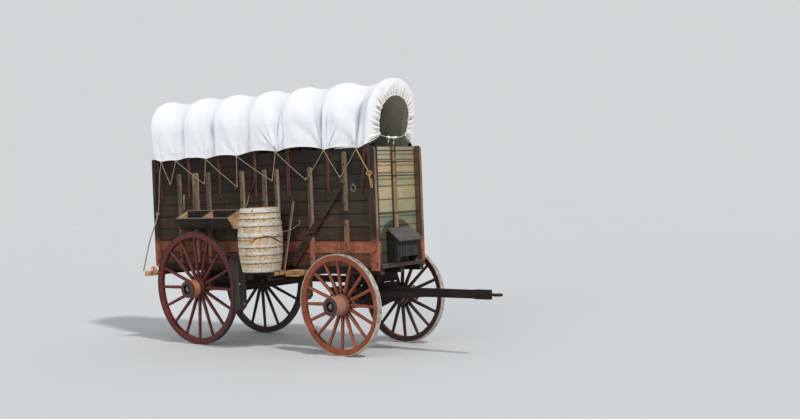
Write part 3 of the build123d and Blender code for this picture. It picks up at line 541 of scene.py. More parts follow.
def turned(profile, place, axis, sides=12):
    """A profile of radius and height turned about an axis through a place."""
    profile = np.asarray(profile, float)
    axis = np.asarray(axis, float) / np.linalg.norm(axis)
    first = np.cross(axis, np.eye(3)[int(np.argmin(np.abs(axis)))])
    first /= np.linalg.norm(first)
    ring = circle(first, np.cross(axis, first), sides)
    return np.asarray(place) + profile[None, :, :1] * ring + profile[None, :, 1:] * axis


def ring_path(centre, radius, first, second, count=28):
    return np.asarray(centre) + radius * circle(np.array(first), np.array(second), count)[:, 0]


def round_head(size):
    """A forged round bolt head on a washer: radius and height."""
    return [(size * 1.25, -0.001), (size * 1.25, 0.003), (size, 0.003), (size * 0.9, 0.008),
            (size * 0.55, 0.012), (0.0005, 0.0135)]


def nut(size):
    return [(size * 1.5, -0.001), (size * 1.5, 0.003), (size, 0.003), (size, 0.016),
            (size * 0.6, 0.017), (size * 0.55, 0.022), (0.0005, 0.023)]


def both(grids):
    """The same grids on both sides of the wagon, with the mirrored ones turned right way out."""
    return list(grids) + [grid[::-1] * np.array([1, -1, 1]) for grid in grids]


def from_axle(places):
    """One place or more, measured from the rear axle."""
    return np.array(places, float) + (AXLE, 0, 0)


# ------------------------------------------------------------------ sizes and colours to change


class WagonLooks(bpy.types.PropertyGroup):
    canvas_sag: bpy.props.FloatProperty(
        name="Canvas sag", description="How far the canvas dips between two bows at its crown",
        default=0.052, min=0.0, max=0.15, unit="LENGTH")
    hem_scallop: bpy.props.FloatProperty(
        name="Hem scallop", description="How far the hem rises between its ties",
        default=0.058, min=0.0, max=0.12, unit="LENGTH")
    pleat_depth: bpy.props.FloatProperty(
        name="Pleat depth", description="Depth of the pleats gathered round the end holes",
        default=0.024, min=0.0, max=0.04, unit="LENGTH")
    rope_radius: bpy.props.FloatProperty(
        name="Rope radius", description="Radius of the cover's lashings",
        default=0.0052, min=0.003, max=0.015, unit="LENGTH")
    floor_colour: bpy.props.FloatVectorProperty(
        name="Floor colour", description="Colour of the floor", subtype="COLOR", size=3,
        default=tint("cfd1d2")[:3], min=0.0, max=1.0)


def looks():
    return bpy.context.scene.wagon_looks


# ------------------------------------------------------------------ finishes of the CAD nodes

BOW_PLACES = (-0.320, 0.350, 1.110, 1.780, 2.540)


def dress(finish, *nodes):
    for name in nodes:
        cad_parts[name].data.materials.clear()
        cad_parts[name].data.materials.append(finish.material)


class WAGON_OT_finishes(bpy.types.Operator):
    """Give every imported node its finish"""
    bl_idname = "wagon.finishes"
    bl_label = "Timber, iron and paint"

    def execute(self, context):
        # Side walls: the same boards as the end walls, kept darker as painted shade; their rows darken
        # upwards to near black, partly dirt and partly painted shadow of the cover's overhang
        dress(wall_boards("side_wall", ["5d4435", "8a4b39", "3a3127", "41372d", "3b342c", "322e28",
                                        "2a2a27", "1f2120", "1a1b1c"],
                          ("4e3c2c", "38422f"), 1.0, rear_shade=0.52), "side_boards_left", "side_boards_right")
        # End walls: paler boards than the side walls, partly their own paint and partly painted light;
        # the lowest rows are darker as painted shade under the tool box
        dress(wall_boards("end_wall", ["735f45", "7d6e55", "8a8166", "757e6c", "b0a685", "bdb08d",
                                       "b5aa86", "c6ad86", "a9ad93"],
                          ("b88c60", "8f9b80"), 0.25, "y", 0.18), "front_boards", "rear_boards")
        dress(timber("floor_boards", "6e6150", "3c342b"), "floor")
        # Stakes, posts and the pieces below: their pale colours are painted light on the faces towards
        # the front
        dress(lit_and_shaded_wood("stake_wood", ("453a2f", "87735d"), ("8f765c", "c8ab8e"),
                       foot=("7a4634", "b27257"), own=0.6), "side_stakes")
        dress(lit_and_shaded_wood("post_wood", ("241c17", "483a31"), ("5e4a38", "97826b"),
                       foot=("7c3d2e", "d67a5c"), cap="3a2a20", lit_inner=0.9, height=0.46), "corner_posts")
        for name, sides, lit_fronts, along, cap, nodes in (
                ("cleat", ("32261b", "5f4d38"), ("5a4833", "9b8461"), "z", "3e2d20", ("end_cleats",)),
                ("header", ("24201f", "4d4744"), ("37302d", "5f5049"), "y", "8a8580", ("headers",)),
                ("brace", ("1a1410", "483729"), ("4a3a2d", "7d654f"), "x", "6a5748", ("side_braces",)),
                ("bow", ("2e1d16", "5a392b"), ("562f22", "80503b"), "z", "7a4a36", ("bows",)),
                # gear: near black as painted shade under the body
                ("gear", ("17120f", "3a2d26"), ("2a211c", "55453a"), "x", "5f554c",
                 ("sills", "reach", "rear_hounds")),
                ("shoe", ("1f1c19", "45403a"), ("37332e", "625c53"), "z", None, ("brake_shoes",)),
                ("lever", ("46372e", "6f5a4e"), ("8e786b", "c4aea0"), "z", None, ("brake_lever",)),
                ("box", ("131110", "2f2b28"), ("24211e", "45403b"), "z", "4c4845", ("tool_box",))):
            dress(lit_and_shaded_wood(name + "_wood", sides, lit_fronts, along, cap=cap), *nodes)
        # painted shade: the running gear's timber under the body is near black
        dress(timber("front_gear_wood", "2b2320", "0f0c0b"), "front_hounds", "tongue")
        dress(timber("axle_wood", "38271f", "18100d", "y"), "bolsters", "sand_board", "front_axle_bed",
              "rear_axle_bed", "brake_beam")
        dress(timber("lid_wood", "6c6865", "3a3634", "y"), "tool_box_lid")
        dress(self.beams(), "cross_beams")
        dress(self.platforms(), "barrel_platforms")
        dress(self.trough(), "feed_trough")
        dress(self.hoops(), "barrel_hoops")
        dress(staves("barrel_staves"), "water_barrels")
        dress(iron("black_iron", "141210", "332a24"), "front_axle_arms", "rear_axle_arms", "tongue_eye",
              "lower_rub_plate", "upper_rub_plate", "kingpin", "rear_coupling", "lid_pin")
        dress(iron("rod_iron", "2c221c", "5e4331"), "cross_rods")
        # the wheels' seventh colour, near black, is the inner faces' painted shade
        for end, tyre, colours in (
                ("rear", ("2f211f", "5a4640", 0.4, 0.5),
                 ("742521", "330f0d", "7d382f", "c07c60", "33261f", "1c1213", "0d0a0a", 0.048)),
                ("front", ("8d8477", "cfc6b9", 0.3, 0.5),
                 ("ad5733", "4a2416", "a9684c", "a97f6c", "a2725e", "7a4a3a", "120c0a", 0.026))):
            dress(iron(end + "_tyre_iron", *tyre), f"tyre_{end}_left", f"tyre_{end}_right")
            for hand, sign in (("left", 1), ("right", -1)):
                place = f"{end}_{hand}"
                centre, radius = wheel_size(place)
                dress(wheel_paint("wheel_paint_" + place, centre, sign, radius, *colours),
                      "wheel_" + place, "hub_" + place)
        return {"FINISHED"}

    def trough(self):
        """Dark outside boards, bare orange-brown wood on what faces along the wagon, worn rims."""
        finish = Finish("trough_wood", Roughness=0.8, Specular_IOR_Level=0.2)
        facing = finish.facing()
        coarse = finish.noise(1.6, 5.0, 0.6, (3, 14, 14))
        blotch = finish.noise(6.0, 4.0, 0.6)
        dark = finish.blend(coarse.rise(0.3, 0.7), "18130f", "332a24")
        pale = finish.blend(blotch.rise(0.3, 0.7), "9a7450", "cda97f")
        finish.colour = finish.blend(facing[0].size().above(0.8), dark, pale)
        finish.lay(facing[2].above(0.9) * 0.8, "7d7268")
        return finish.done(coarse, 0.0015)

    def hoops(self):
        """Pale worn hoops with a bluish cast, rust blooms and a dark lower edge."""
        finish = Finish("hoop_iron", Metallic=0.2, Specular_IOR_Level=0.3)
        z = finish.axes()[2]
        edge = 0.0
        for low in HOOPS:
            over = z - (BARREL_FOOT + low)
            edge = over.rise(0.012, 0.003) * over.above(-0.002) + edge
        bloom = finish.noise(7.0, 5.0, 0.65, (1, 1, 1.5))
        streak = finish.noise(3.0, 4.0, 0.6, (3, 3, 14))
        specks = finish.noise(34.0, 2.0, 0.5, (1, 1, 1.5))
        finish.colour = finish.blend(bloom.rise(0.3, 0.7), "b9b7b0", "ddd2c2")
        finish.lay(streak.rise(0.52, 0.70) * 0.6, "99a1a6")
        finish.lay(bloom.rise(0.50, 0.66) * 0.75, "ad8260")
        finish.lay(specks.rise(0.62, 0.68) * 0.6, "6e523c")
        finish.lay(edge * specks.rise(0.3, 0.5) * 0.75, "5b4436")
        finish.put("Roughness", 0.45 + bloom * 0.3)
        return finish.done(bloom, 0.0008)

    def platforms(self):
        """Planks under the barrels, near black as painted shadow of the barrels, and a pale step
        ahead of them whose upper faces take painted light.
        """
        finish = Finish("platform_wood", Roughness=0.8, Specular_IOR_Level=0.2)
        coarse = finish.noise(1.6, 5.0, 0.6, GRAIN["x"])
        # painted shadow: the planks under the barrels are near black
        dark = finish.blend(coarse.rise(0.3, 0.7), "120e0c", "2d241d")
        pale = finish.blend(coarse.rise(0.36, 0.64), "74502f", "c09268")
        # painted top light: the step's upper faces turn paler
        worn = finish.blend(finish.facing()[2].above(0.8) * 0.7, pale, "d9b78f")
        finish.colour = finish.blend(finish.axes()[0].above(AXLE + 1.845), dark, worn)
        return finish.done(coarse, 0.0015)

    def beams(self):
        """Dark cross beams with bare ends behind the body."""
        finish = Finish("beam_wood", Roughness=0.8, Specular_IOR_Level=0.2)
        x, y = finish.axes()[:2]
        coarse = finish.noise(1.6, 5.0, 0.6, GRAIN["y"])
        dark = finish.blend(coarse.rise(0.3, 0.7), "18100d", "38271f")
        pale = finish.blend(coarse.rise(0.3, 0.7), "9c7047", "d3aa78")
        finish.colour = finish.blend(y.size().rise(0.60, 0.68) * x.below(AXLE), dark, pale)
        return finish.done(coarse, 0.0015)


# ------------------------------------------------------------------ the canvas cover

HOLE_RADIUS = 0.298                             # of the holes, upwards
HOLE_HALF = 0.328                               # half their width
HOLE_HEIGHT = SHOULDER - 0.012
HOLE_AHEAD = 0.032                              # of the drawn edge beyond its bow
CLOTH_POINTS = (205, 193)                       # of the grid across the wagon and along it
SEAM = 0.72                                     # where two widths of canvas are sewn
PLEATS = 25                                     # gathered round each hole
END_COLUMNS = 20                                # of the cloth's grid from a bow to its hole
HOLE_GAP = math.radians(44)                     # half the angle left open below a drawn edge
FRONT_FOOT = AXLE + 3.105
REAR_FOOT = AXLE - 0.925
TIES = np.array((-0.927, -0.581, 0.099, 0.769, 1.571, 2.500, 3.094))
TIE_HEIGHTS = (2.803, 2.808, 2.806, 2.821, 2.845, 2.830, 2.826)
FOLD_DEPTHS = (0.012, 0.007, 0.008, 0.013, 0.020, 0.018, 0.018)
ENDS = ((0, -1), (-1, 1))                       # the cloth's first and last edge, and their signs
CREASES = (                                     # foot, lean, width, reach, height
    (2.450, 0.02, 0.030, 0.80, 0.009), (2.550, 0.05, 0.026, 0.55, 0.008),
    (3.06, 0.14, 0.032, 0.95, 0.016), (3.00, 0.13, 0.026, 0.80, 0.011),
    (1.57, -0.60, 0.026, 0.52, 0.015), (1.57, -1.10, 0.026, 0.42, 0.012),
    (1.60, 0.05, 0.034, 0.75, 0.012), (1.57, -0.22, 0.022, 0.34, 0.009),
    (0.75, -0.80, 0.028, 0.36, 0.008), (2.58, 0.55, 0.028, 0.46, 0.013),
    (2.62, 1.05, 0.026, 0.30, 0.010), (0.11, 0.20, 0.028, 0.34, 0.006),
    (-0.90, 0.35, 0.028, 0.50, 0.009), (-0.58, 0.50, 0.026, 0.26, 0.005))


def rim_x(height, direction):
    """The outer face of an end bow at a height."""
    foot = FRONT_FOOT if direction > 0 else REAR_FOOT
    return foot + direction * ((height - RAKE_FOOT) * RAKE + 0.046 + 0.004)


def arch_point(run, half, hem):
    """Y, Z and the outward direction of the arch at a length from the near hem: up a straight leg,
    round the half circle and down the far leg."""
    leg = SHOULDER - hem
    arc = np.pi * half
    angle = np.pi - np.clip((run - leg) / half, 0, np.pi)
    on_near = run < leg
    on_far = run > leg + arc
    y = half * np.cos(angle)
    z = SHOULDER + half * np.sin(angle)
    z = np.where(on_near, hem + run, z)
    z = np.where(on_far, SHOULDER - (run - leg - arc), z)
    return y, z, np.cos(angle), np.where(on_near | on_far, 0.0, np.sin(angle))


def ripple(a, b, seed):
    """A smooth uneven wave: a sum of sines whose pitches share no common measure."""
    random = np.random.default_rng(seed)
    total = 0.0
    for pitch in (1.0, 1.7, 2.9, 4.3):
        p, q, r = random.uniform(-1, 1, 3)
        total = total + np.sin(pitch * (a * (1.5 + p) + b * (1.5 + q)) + 6.3 * r) / pitch
    return total


def smooth(value, start, end):
    """0 at start and 1 at end, with soft ends."""
    part = np.clip((value - start) / (end - start), 0, 1)
    return part * part * (3 - 2 * part)


def creased(angle):
    """A wave from -1 to 1 with sharp valleys and round crests."""
    return 2 * np.abs(np.sin(angle / 2)) ** 0.7 - 1


def hem_height(x):
    """The hem's height along the wagon: low at its ties, in arcs that grow with the ties' distance
    between them, and rising past the last ties."""
    place = np.interp(x - AXLE, TIES, np.arange(7))
    span = np.diff(TIES)[np.minimum(place.astype(int), 5)]
    arc = np.minimum(span / 0.93, 1.0) ** 1.5 * np.abs(np.sin(np.pi * place)) ** 0.8
    arc = looks().hem_scallop * arc
    past = np.maximum(x - AXLE - TIES[-1], 0) + np.maximum(TIES[0] - (x - AXLE), 0)
    return np.interp(x - AXLE, TIES, TIE_HEIGHTS) + arc + 0.30 * past


def canvas_grid():
    """The cloth as one surface, and the painted shade of each point: deep in its folds, in its
    creases and in a band before each bow. Along t it runs from the near hem over the crown to the
    far hem. Along u it runs from the rear hole's edge out to the rear bow, over the bows and in to
    the front hole's edge. Clear of the bows it dips by the sag times an uneven arc, folds fan out
    from each tie, and long creases run up beside three ties."""
    settings = looks()
    t = np.linspace(0, 1, CLOTH_POINTS[0])[:, None]
    u = np.linspace(0, 6, CLOTH_POINTS[1])[None, :]
    u = u - 0.07 * np.sin(2 * np.pi * u)
    bay = np.minimum(u.astype(int), 5)
    within = u - bay
    along = [rim_x(HEM, -1)] + [AXLE + place for place in BOW_PLACES] + [rim_x(HEM, 1)]
    hem = hem_height(np.interp(u, np.arange(7), along))
    length = 2 * (SHOULDER - hem) + np.pi * HALF
    run = t * length
    y, z, out_y, out_z = arch_point(run, HALF, hem)
    stations = [rim_x(z, -1)] + [np.full_like(z, AXLE + place) for place in BOW_PLACES] + [rim_x(z, 1)]
    stations = np.stack(stations)
    columns = np.broadcast_to(bay, z.shape)
    low = np.take_along_axis(stations, columns[None], 0)[0]
    high = np.take_along_axis(stations, columns[None] + 1, 0)[0]
    x = low + (high - low) * within
    part = np.clip((within - 0.07) / 0.86, 0, 1)
    near_crown = np.clip(out_z, 0, 1) ** 0.7
    rising, falling = 1.7 - 0.6 * near_crown, 0.62 + 0.43 * near_crown
    deepest = rising / (rising + falling)
    arc = part ** rising * (1 - part) ** falling / (deepest ** rising * (1 - deepest) ** falling)
    sag = settings.canvas_sag * (0.56 + 0.44 * near_crown) * arc * np.clip((high - low) / 0.7, 0.85, 1.1)
    sag *= 1 + 0.16 * ripple(u * 0.9, t * 2.0, 3)
    above_hem = np.minimum(run, length - run)
    free = smooth(part, 0, 0.2) * smooth(part, 1, 0.8)
    far = t > 0.5
    fold = 0.0
    for k, (tie, depth) in enumerate(zip(TIES, FOLD_DEPTHS)):
        spread = np.arctan2(x - AXLE - tie, above_hem + 0.03)
        strength = (np.exp(-above_hem / 0.36) * np.exp(-(spread / 0.9) ** 2)
                    * smooth(above_hem, 0.01, 0.11))
        turn = np.where(far, 2.1, 0.4) + 1.9 * k + 0.9 * ripple(u, t * 3, 20 + k)
        fold = fold + depth * strength * creased((7 + 1.5 * (k % 3)) * spread + turn)
    ridge, valley = 0.0, 0.0
    for foot, lean, width, top, height in CREASES:
        aside = (x - AXLE - foot - lean * above_hem) / (width * (0.6 + above_hem))
        fade = smooth(above_hem, top, 0.3 * top) * smooth(above_hem, 0, 0.05) * height
        ridge = ridge + fade * (np.exp(-(aside - 1.5) ** 2) + 0.7 * np.exp(-(aside + 1.5) ** 2))
        valley = valley + fade * np.exp(-(aside * 1.1) ** 2)
    drift = 0.0035 * ripple(u * 2.2, t * 9.0, 8) + 0.002 * ripple(u * 5.0, t * 16.0, 12)
    sewn = smooth(above_hem, 0.02, 0.12)
    push = (0.003 - sag + ridge + (fold + drift - 0.6 * valley) * free * sewn
            + 0.25 * np.abs(fold) * sewn)
    corner = np.clip(1 - (length - run) / 0.4, 0, 1) * smooth(x - AXLE, 3.02, 3.24) * 0.055
    body = np.stack([x, y + push * out_y, z + push * out_z - corner], -1)
    rear, rear_pleat_shade = drawn_end(body[:, 0], t, -1)
    front, front_pleat_shade = drawn_end(body[:, -1], t, 1)
    grid = np.concatenate([rear[:, :0:-1], body, front[:, 1:]], 1)
    # painted shade: a band just before each bow, stronger away from the crown
    shade_before_bow = smooth(within, 0.68, 0.86) * smooth(within, 1.0, 0.93)
    shade_before_bow = shade_before_bow * (0.30 + 0.70 * (1 - near_crown)) * 0.34
    # painted shade of the body of the cloth: the band, the creases' valleys and the tie folds' valleys
    shade = shade_before_bow * np.clip(1 + 0.25 * ripple(u, t * 4, 51), 0, 2) + valley / 0.020 - fold / 0.035
    fold_shade = np.concatenate([rear_pleat_shade[:, :0:-1], 0.35 + shade, front_pleat_shade[:, 1:]], 1)
    gathered = np.zeros_like(fold_shade)
    gathered[:, :END_COLUMNS] = np.linspace(1, 0, END_COLUMNS)
    gathered[:, -END_COLUMNS:] = np.linspace(0, 1, END_COLUMNS)
    return grid, np.clip(fold_shade, 0, 1), gathered


def hole_edge(t):
    """Y and Z round a hole's drawn edge, from its near foot over the top to its far foot. Its lower
    half is squared out by a power of the sine and cosine."""
    angle = -np.pi / 2 - HOLE_GAP - (2 * np.pi - 2 * HOLE_GAP) * t
    c, s = np.cos(angle), np.sin(angle)
    power = np.where(s < 0, 0.55, 1.0)
    return (HOLE_HALF * np.sign(c) * np.abs(c) ** power,
            HOLE_HEIGHT + HOLE_RADIUS * np.sign(s) * np.abs(s) ** power)


def drawn_end(rim, t, direction):
    """An end of the cloth from its bow (v = 0) to the hole's edge (v = 1): straight lines from the
    rim to the hole, rounded over the bow by 1 - (1 - v)^2.2, with gathers of uneven reach that
    deepen towards the drawstring. It also gives each point's painted shade, darkest in the
    pleats' valleys."""
    v = np.linspace(0, 1, END_COLUMNS + 1)[None, :] ** 1.15
    y1, z1 = hole_edge(t)
    y1 = y1 * (1 + 0.005 * ripple(t * 30, t * 3, 31))
    y = rim[:, None, 1] * (1 - v) + y1 * v
    z = rim[:, None, 2] * (1 - v) + z1 * v
    puff = HOLE_AHEAD * (1 - (1 - v) ** 2.2) + 0.012 * np.sin(np.pi * v)
    start = np.clip(0.30 + 0.20 * ripple(t * 37, t, 7 + direction), 0.02, 0.65)
    gather = np.clip((v - start) / (1 - start), 0, 1) ** 0.7
    pleats = creased(2 * np.pi * PLEATS * t + 1.9 * ripple(t * 11, t, 5 + direction))
    uneven = np.clip(0.80 + 0.42 * ripple(t * 23, t * 2, 9), 0.2, 1.6)
    uneven = uneven * (1.4 - 0.85 * smooth(t, 0.32, 0.5) + 0.2 * smooth(t, 0.55, 0.8))
    depth = looks().pleat_depth * uneven * gather * pleats * (1 - 0.6 * smooth(v, 0.8, 1.0))
    push = puff + depth + 0.004 * ripple(t * 14, v * 3, 17) * np.sin(np.pi * v)
    offset = (rim[:, None, 0] - rim_x(rim[:, None, 2], direction)) * (1 - v)
    x = rim_x(z, direction) + offset + direction * push
    # the second value is painted shade: darkest in the pleats' valleys, a little more where gathered
    return np.stack([x, y, z], -1), 0.40 - 1.05 * pleats * gather * uneven + 0.18 * gather


class WAGON_OT_cover(bpy.types.Operator):
    """Lay the canvas over the bows, with its hem roll, end pleats and drawstrings"""
    bl_idname = "wagon.cover"
    bl_label = "Canvas cover"

    def execute(self, context):
        cloth = canvas("canvas", "eceef1", "929db0")
        grid, fold_shade, gathered = canvas_grid()
        piece = mesh_piece("cover_cloth", [grid[:, ::-1]], cloth, "canvas", form="sheet")
        for key, values in (("fold_shade", fold_shade), ("gathered", gathered)):
            layer = piece.data.attributes.new(key, "FLOAT", "POINT")
            layer.data.foreach_set("value", values[:, ::-1].ravel())
        piece.data.materials.append(lining("canvas_inside").material)
        thickness = piece.modifiers.new("thickness", "SOLIDIFY")
        thickness.thickness = 0.0025
        thickness.offset = -1
        thickness.material_offset = 1
        hems = [tube(grid[row] + (0, sign * 0.002, 0.004), 0.0055) for row, sign in ENDS]
        edges = [tube(grid[:, column] + (sign * 0.002, 0, 0), 0.0075) for column, sign in ENDS]
        seam = tube(grid[:, self.seam(grid)], 0.0045, 6)
        hem_cloth = canvas("canvas_hem", "e9e8e4", "b9b6ad", False)
        roll = mesh_piece("cover_hem", hems, hem_cloth, "canvas")
        casing = mesh_piece("cover_hole_hems", edges, hem_cloth, "canvas")
        joins = mesh_piece("cover_seams", [seam], hem_cloth, "canvas")
        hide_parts("cover", "cover_ends")
        self.drawstrings(grid)
        return {"FINISHED"}

    def seam(self, grid):
        """The column of the cloth where two widths of canvas are sewn together."""
        crown = grid[grid.shape[0] // 2, END_COLUMNS:-END_COLUMNS, 0]
        return END_COLUMNS + int(np.argmin(np.abs(crown - (AXLE + SEAM))))

    def drawstrings(self, grid):
        """A drawstring across each hole's foot, bunched in cloth, with tails that hang or are tied
        down to the walls, and a slack loop at its far end."""
        rope = rope_finish("white_rope", "d9d3c6", "8f8674")
        lines, bunches = [], []
        sag, bunched = 0.038, slice(8, 24)
        for column, sign in ENDS:
            near, far = grid[0, column], grid[-1, column]
            out = np.array([sign * 0.006, 0, 0])
            string = sagging(near + out, far + out, sag, 30)
            lines.append(tube(string, 0.006, 6))
            t = np.linspace(0, 1, 34)[bunched]
            lumps = 0.010 + 0.007 * np.abs(ripple(t * 30, t * 7, 41))
            lumps[[0, -1]] = 0.005
            bunch = sagging(near, far, sag, 34)[bunched] + (sign * 0.004, 0, 0.003)
            bunches.append(tube(bunch, lumps, 10))
            foot = np.array([rim_x(SIDE_TOP, sign) - sign * 0.01, POST - 0.05, SIDE_TOP + 0.02])
            slack = [(9, 0.075), (15, 0.095)]
            paths = [curve([string[place] + (sign * a, b, c * drop) for a, b, c in (
                (0, 0, 0), (0.008, 0.004, -0.5), (0.006, -0.010, -1), (0.010, -0.016, -1.05),
                (0.006, -0.012, -0.6))], 18) for place, drop in slack]
            paths += [sagging(far + out, foot + (0, -shift, 0.02 + shift), 0.010)
                      for shift in (0.0, 0.045)]
            paths.append(curve([far + out + (sign * a, b, c) for a, b, c in (
                (0.004, 0, 0), (0.016, 0.055, -0.022), (0.020, 0.098, -0.062), (0.018, 0.078, -0.096),
                (0.018, 0.030, -0.078), (0.018, 0.016, -0.040), (0.018, 0.052, -0.058),
                (0.014, 0.112, -0.088))], 40))
            paths.append(sagging(near + out, foot * (1, -1, 1), 0.012))
            lines += [tube(path, 0.0045, 6) for path in paths]
        mesh_piece("cover_drawstrings", lines, rope, "canvas")
        mesh_piece("cover_bunches", bunches, canvas("canvas_bunch", "efece4", "b4aca0", False), "canvas")


# ------------------------------------------------------------------ ropes

HOOKS = ((-0.704, 2.441), (0.077, 2.426), (0.781, 2.361), (1.507, 2.428), (2.171, 2.421), (2.805, 2.435))


class WAGON_OT_ropes(bpy.types.Operator):
    """Lash the cover's hem to the hooks on both walls"""
    bl_idname = "wagon.ropes"
    bl_label = "Lashings and hooks"

    def execute(self, context):
        radius = looks().rope_radius
        rope = rope_finish("hemp_rope", "b5a488", "6b5a42")
        yellow = rope_finish("tan_rope", "d3ab72", "7d5a30")
        dark = iron("hook_iron", "2a211b", "5a4636")
        ties = from_axle([(x, -HALF - 0.008, z - 0.004) for x, z in zip(TIES, TIE_HEIGHTS)])
        hooks = from_axle([(x, -POST - 0.018, z) for x, z in HOOKS])
        lines = [tube(sagging(start, end, 0.008), radius, 6) for k, hook in enumerate(hooks)
                 for start, end in ((ties[k], hook), (hook, ties[k + 1]))]
        loops = [tube(ring_path(tie, 0.015, (1, 0, 0), (0, 0.3, 0.95), 16), radius * 0.9, 6, True)
                 for tie in ties]
        mesh_piece("cover_lashings", both(lines), rope, "canvas")
        loops += [self.knot(hook + (0, -0.006, 0.010), 0.0075) for hook in hooks]
        mesh_piece("cover_tie_loops", both(loops), rope, "canvas", form="ring")
        bend = np.array([(0, 0.035, 0.016), (0, 0.006, 0.014), (0, -0.010, 0.004), (0, -0.006, -0.010),
                         (0, 0.004, -0.012)])
        bent = [tube(curve(hook + bend, 14), 0.005, 6) for hook in hooks]
        mesh_piece("lashing_hooks", both(bent), dark, "black_iron")
        path = curve(from_axle([(3.094, -HALF - 0.012, 2.820), (3.20, -POST - 0.012, 2.66),
                                (3.31, -POST - 0.016, 2.50)]), 16)
        corner = from_axle((3.325, -POST - 0.020, 2.47))
        tail = curve(corner + np.array([(0, 0, -0.02), (0.012, -0.004, -0.09), (0.022, 0, -0.16),
                                        (0.036, 0, -0.19), (0.045, 0, -0.14), (0.028, 0, -0.06)]), 26)
        mesh_piece("corner_rope", both([tube(path, 0.008, 6), tube(tail, 0.007, 6)]), yellow, "canvas")
        mesh_piece("corner_rope_knots", both([self.knot(corner, 0.016)]), yellow, "canvas", form="ring")
        self.rear_ties(rope, ties[0])
        self.barrel_ties(rope)
        return {"FINISHED"}

    def knot(self, centre, size):
        """A trefoil: (sin a + 2 sin 2a, 0.6 sin 3a, cos a - 2 cos 2a) times the size."""
        angle = np.linspace(0, 2 * np.pi, 60, endpoint=False)
        path = np.stack([np.sin(angle) + 2 * np.sin(2 * angle), 0.6 * np.sin(3 * angle),
                         np.cos(angle) - 2 * np.cos(2 * angle)], -1)
        return tube(np.asarray(centre) + size * path, size * 0.45, 6, True)

    def rear_ties(self, rope, tie):
        """The rear ropes, from the first tie down to the ends of the rear cross beam."""
        block = rope_finish("orange_rope", "e08a6c", "9c4f3a")
        beams = corners("cross_beams")
        drop = curve([tie, *from_axle([(-0.962, -POST - 0.014, 2.55), (-1.03, -POST - 0.016, 2.00),
                                       (-1.05, -0.72, 1.56)]),
                      (beams[0][0] + 0.050, -0.895, beams[1][2] + 0.012)], 40)
        thickness = np.interp(drop[:, 2], (1.9, 2.0), (0.012, 0.0065))
        mesh_piece("rear_tie_ropes", both([tube(drop, thickness, 6)]), rope, "canvas")
        bend = self.knot(from_axle((-1.033, -POST - 0.022, 1.98)), 0.012)
        mesh_piece("rear_tie_knots", both([bend]), rope, "canvas", form="ring")
        block_knot = self.knot(from_axle((-0.881, -0.80, beams[1][2] + 0.034)), 0.018)
        mesh_piece("rear_beam_knots", both([block_knot]), block, "canvas", form="ring")

    def barrel_ties(self, rope):
        """A wire from each barrel's bung round its front to the brake lever, and a thin cord over it
        to a hook in the wall."""
        wire = iron("wire_iron", "1f1814", "40342c")
        points = from_axle([
            (1.679, -1.168, 1.603), (1.735, -1.130, 1.632), (1.789, -1.085, 1.647),
            (1.832, -1.026, 1.655), (1.863, -0.940, 1.629), (1.868, -0.848, 1.588),
            (1.825, -0.714, 1.544), (1.822, -0.662, 1.540)])
        back = from_axle([(1.290, -1.080, 1.612), (1.330, -1.122, 1.616), (1.440, -1.180, 1.606),
                          (1.543, -1.196, 1.603), (1.672, -1.170, 1.602)])
        mesh_piece("barrel_wires", both([tube(curve(points, 48), 0.0065, 6),
                                         tube(curve(back, 30), 0.0045, 6)]), wire, "black_iron")
        cord = from_axle([
            (1.760, -1.112, 1.650), (1.793, -1.086, 1.657), (1.860, -0.954, 1.672),
            (1.846, -0.800, 1.684), (1.828, -0.714, 1.694), (1.885, -0.665, 1.716),
            (1.940, -0.612, 1.742), (1.950, -WALL - 0.020, 1.790)])
        end = curve(cord[-1] + np.array([(0, 0, -0.004), (0.026, -0.004, 0.010), (0.034, -0.004, 0.042),
                                         (0.014, -0.002, 0.070)]), 14)
        mesh_piece("barrel_cords", both([tube(curve(cord, 44), 0.0042, 6), tube(end, 0.0045, 6)]), rope,
                   "canvas")
        bung = [(0.024, -0.012), (0.026, 0.004), (0.020, 0.016), (0.012, 0.022), (0.0005, 0.023)]
        peg = [(0.011, -0.01), (0.011, 0.004), (0.0005, 0.008)]
        plugs = [turned(bung, from_axle((1.676, -1.163, 1.600)), (0.2, -1, 0), 14),
                 turned(peg, from_axle((1.673, -1.140, 2.019)), (0.2, -1, 0), 10)]
        mesh_piece("barrel_bungs", both(plugs), rope_finish("bung_wood", "c98d62", "8a5530"),
                   "barrel_wood")


# ------------------------------------------------------------------ irons

STAKES = ((-0.540, 0.022, 1.4), (-0.170, 0.022, 1.4), (0.120, 0.022, 1.4), (0.850, 0.022, 1.4),
          (1.310, 0.022, 1.4), (1.560, 0.022, 1.4), (2.205, 0.022, 1.4), (2.852, 0.78, 1.59),
          (2.852, 0.225, 0.65))                 # place, and where its bolts start and end
OUTWARDS = (0, -1, 0)                           # of the near wall


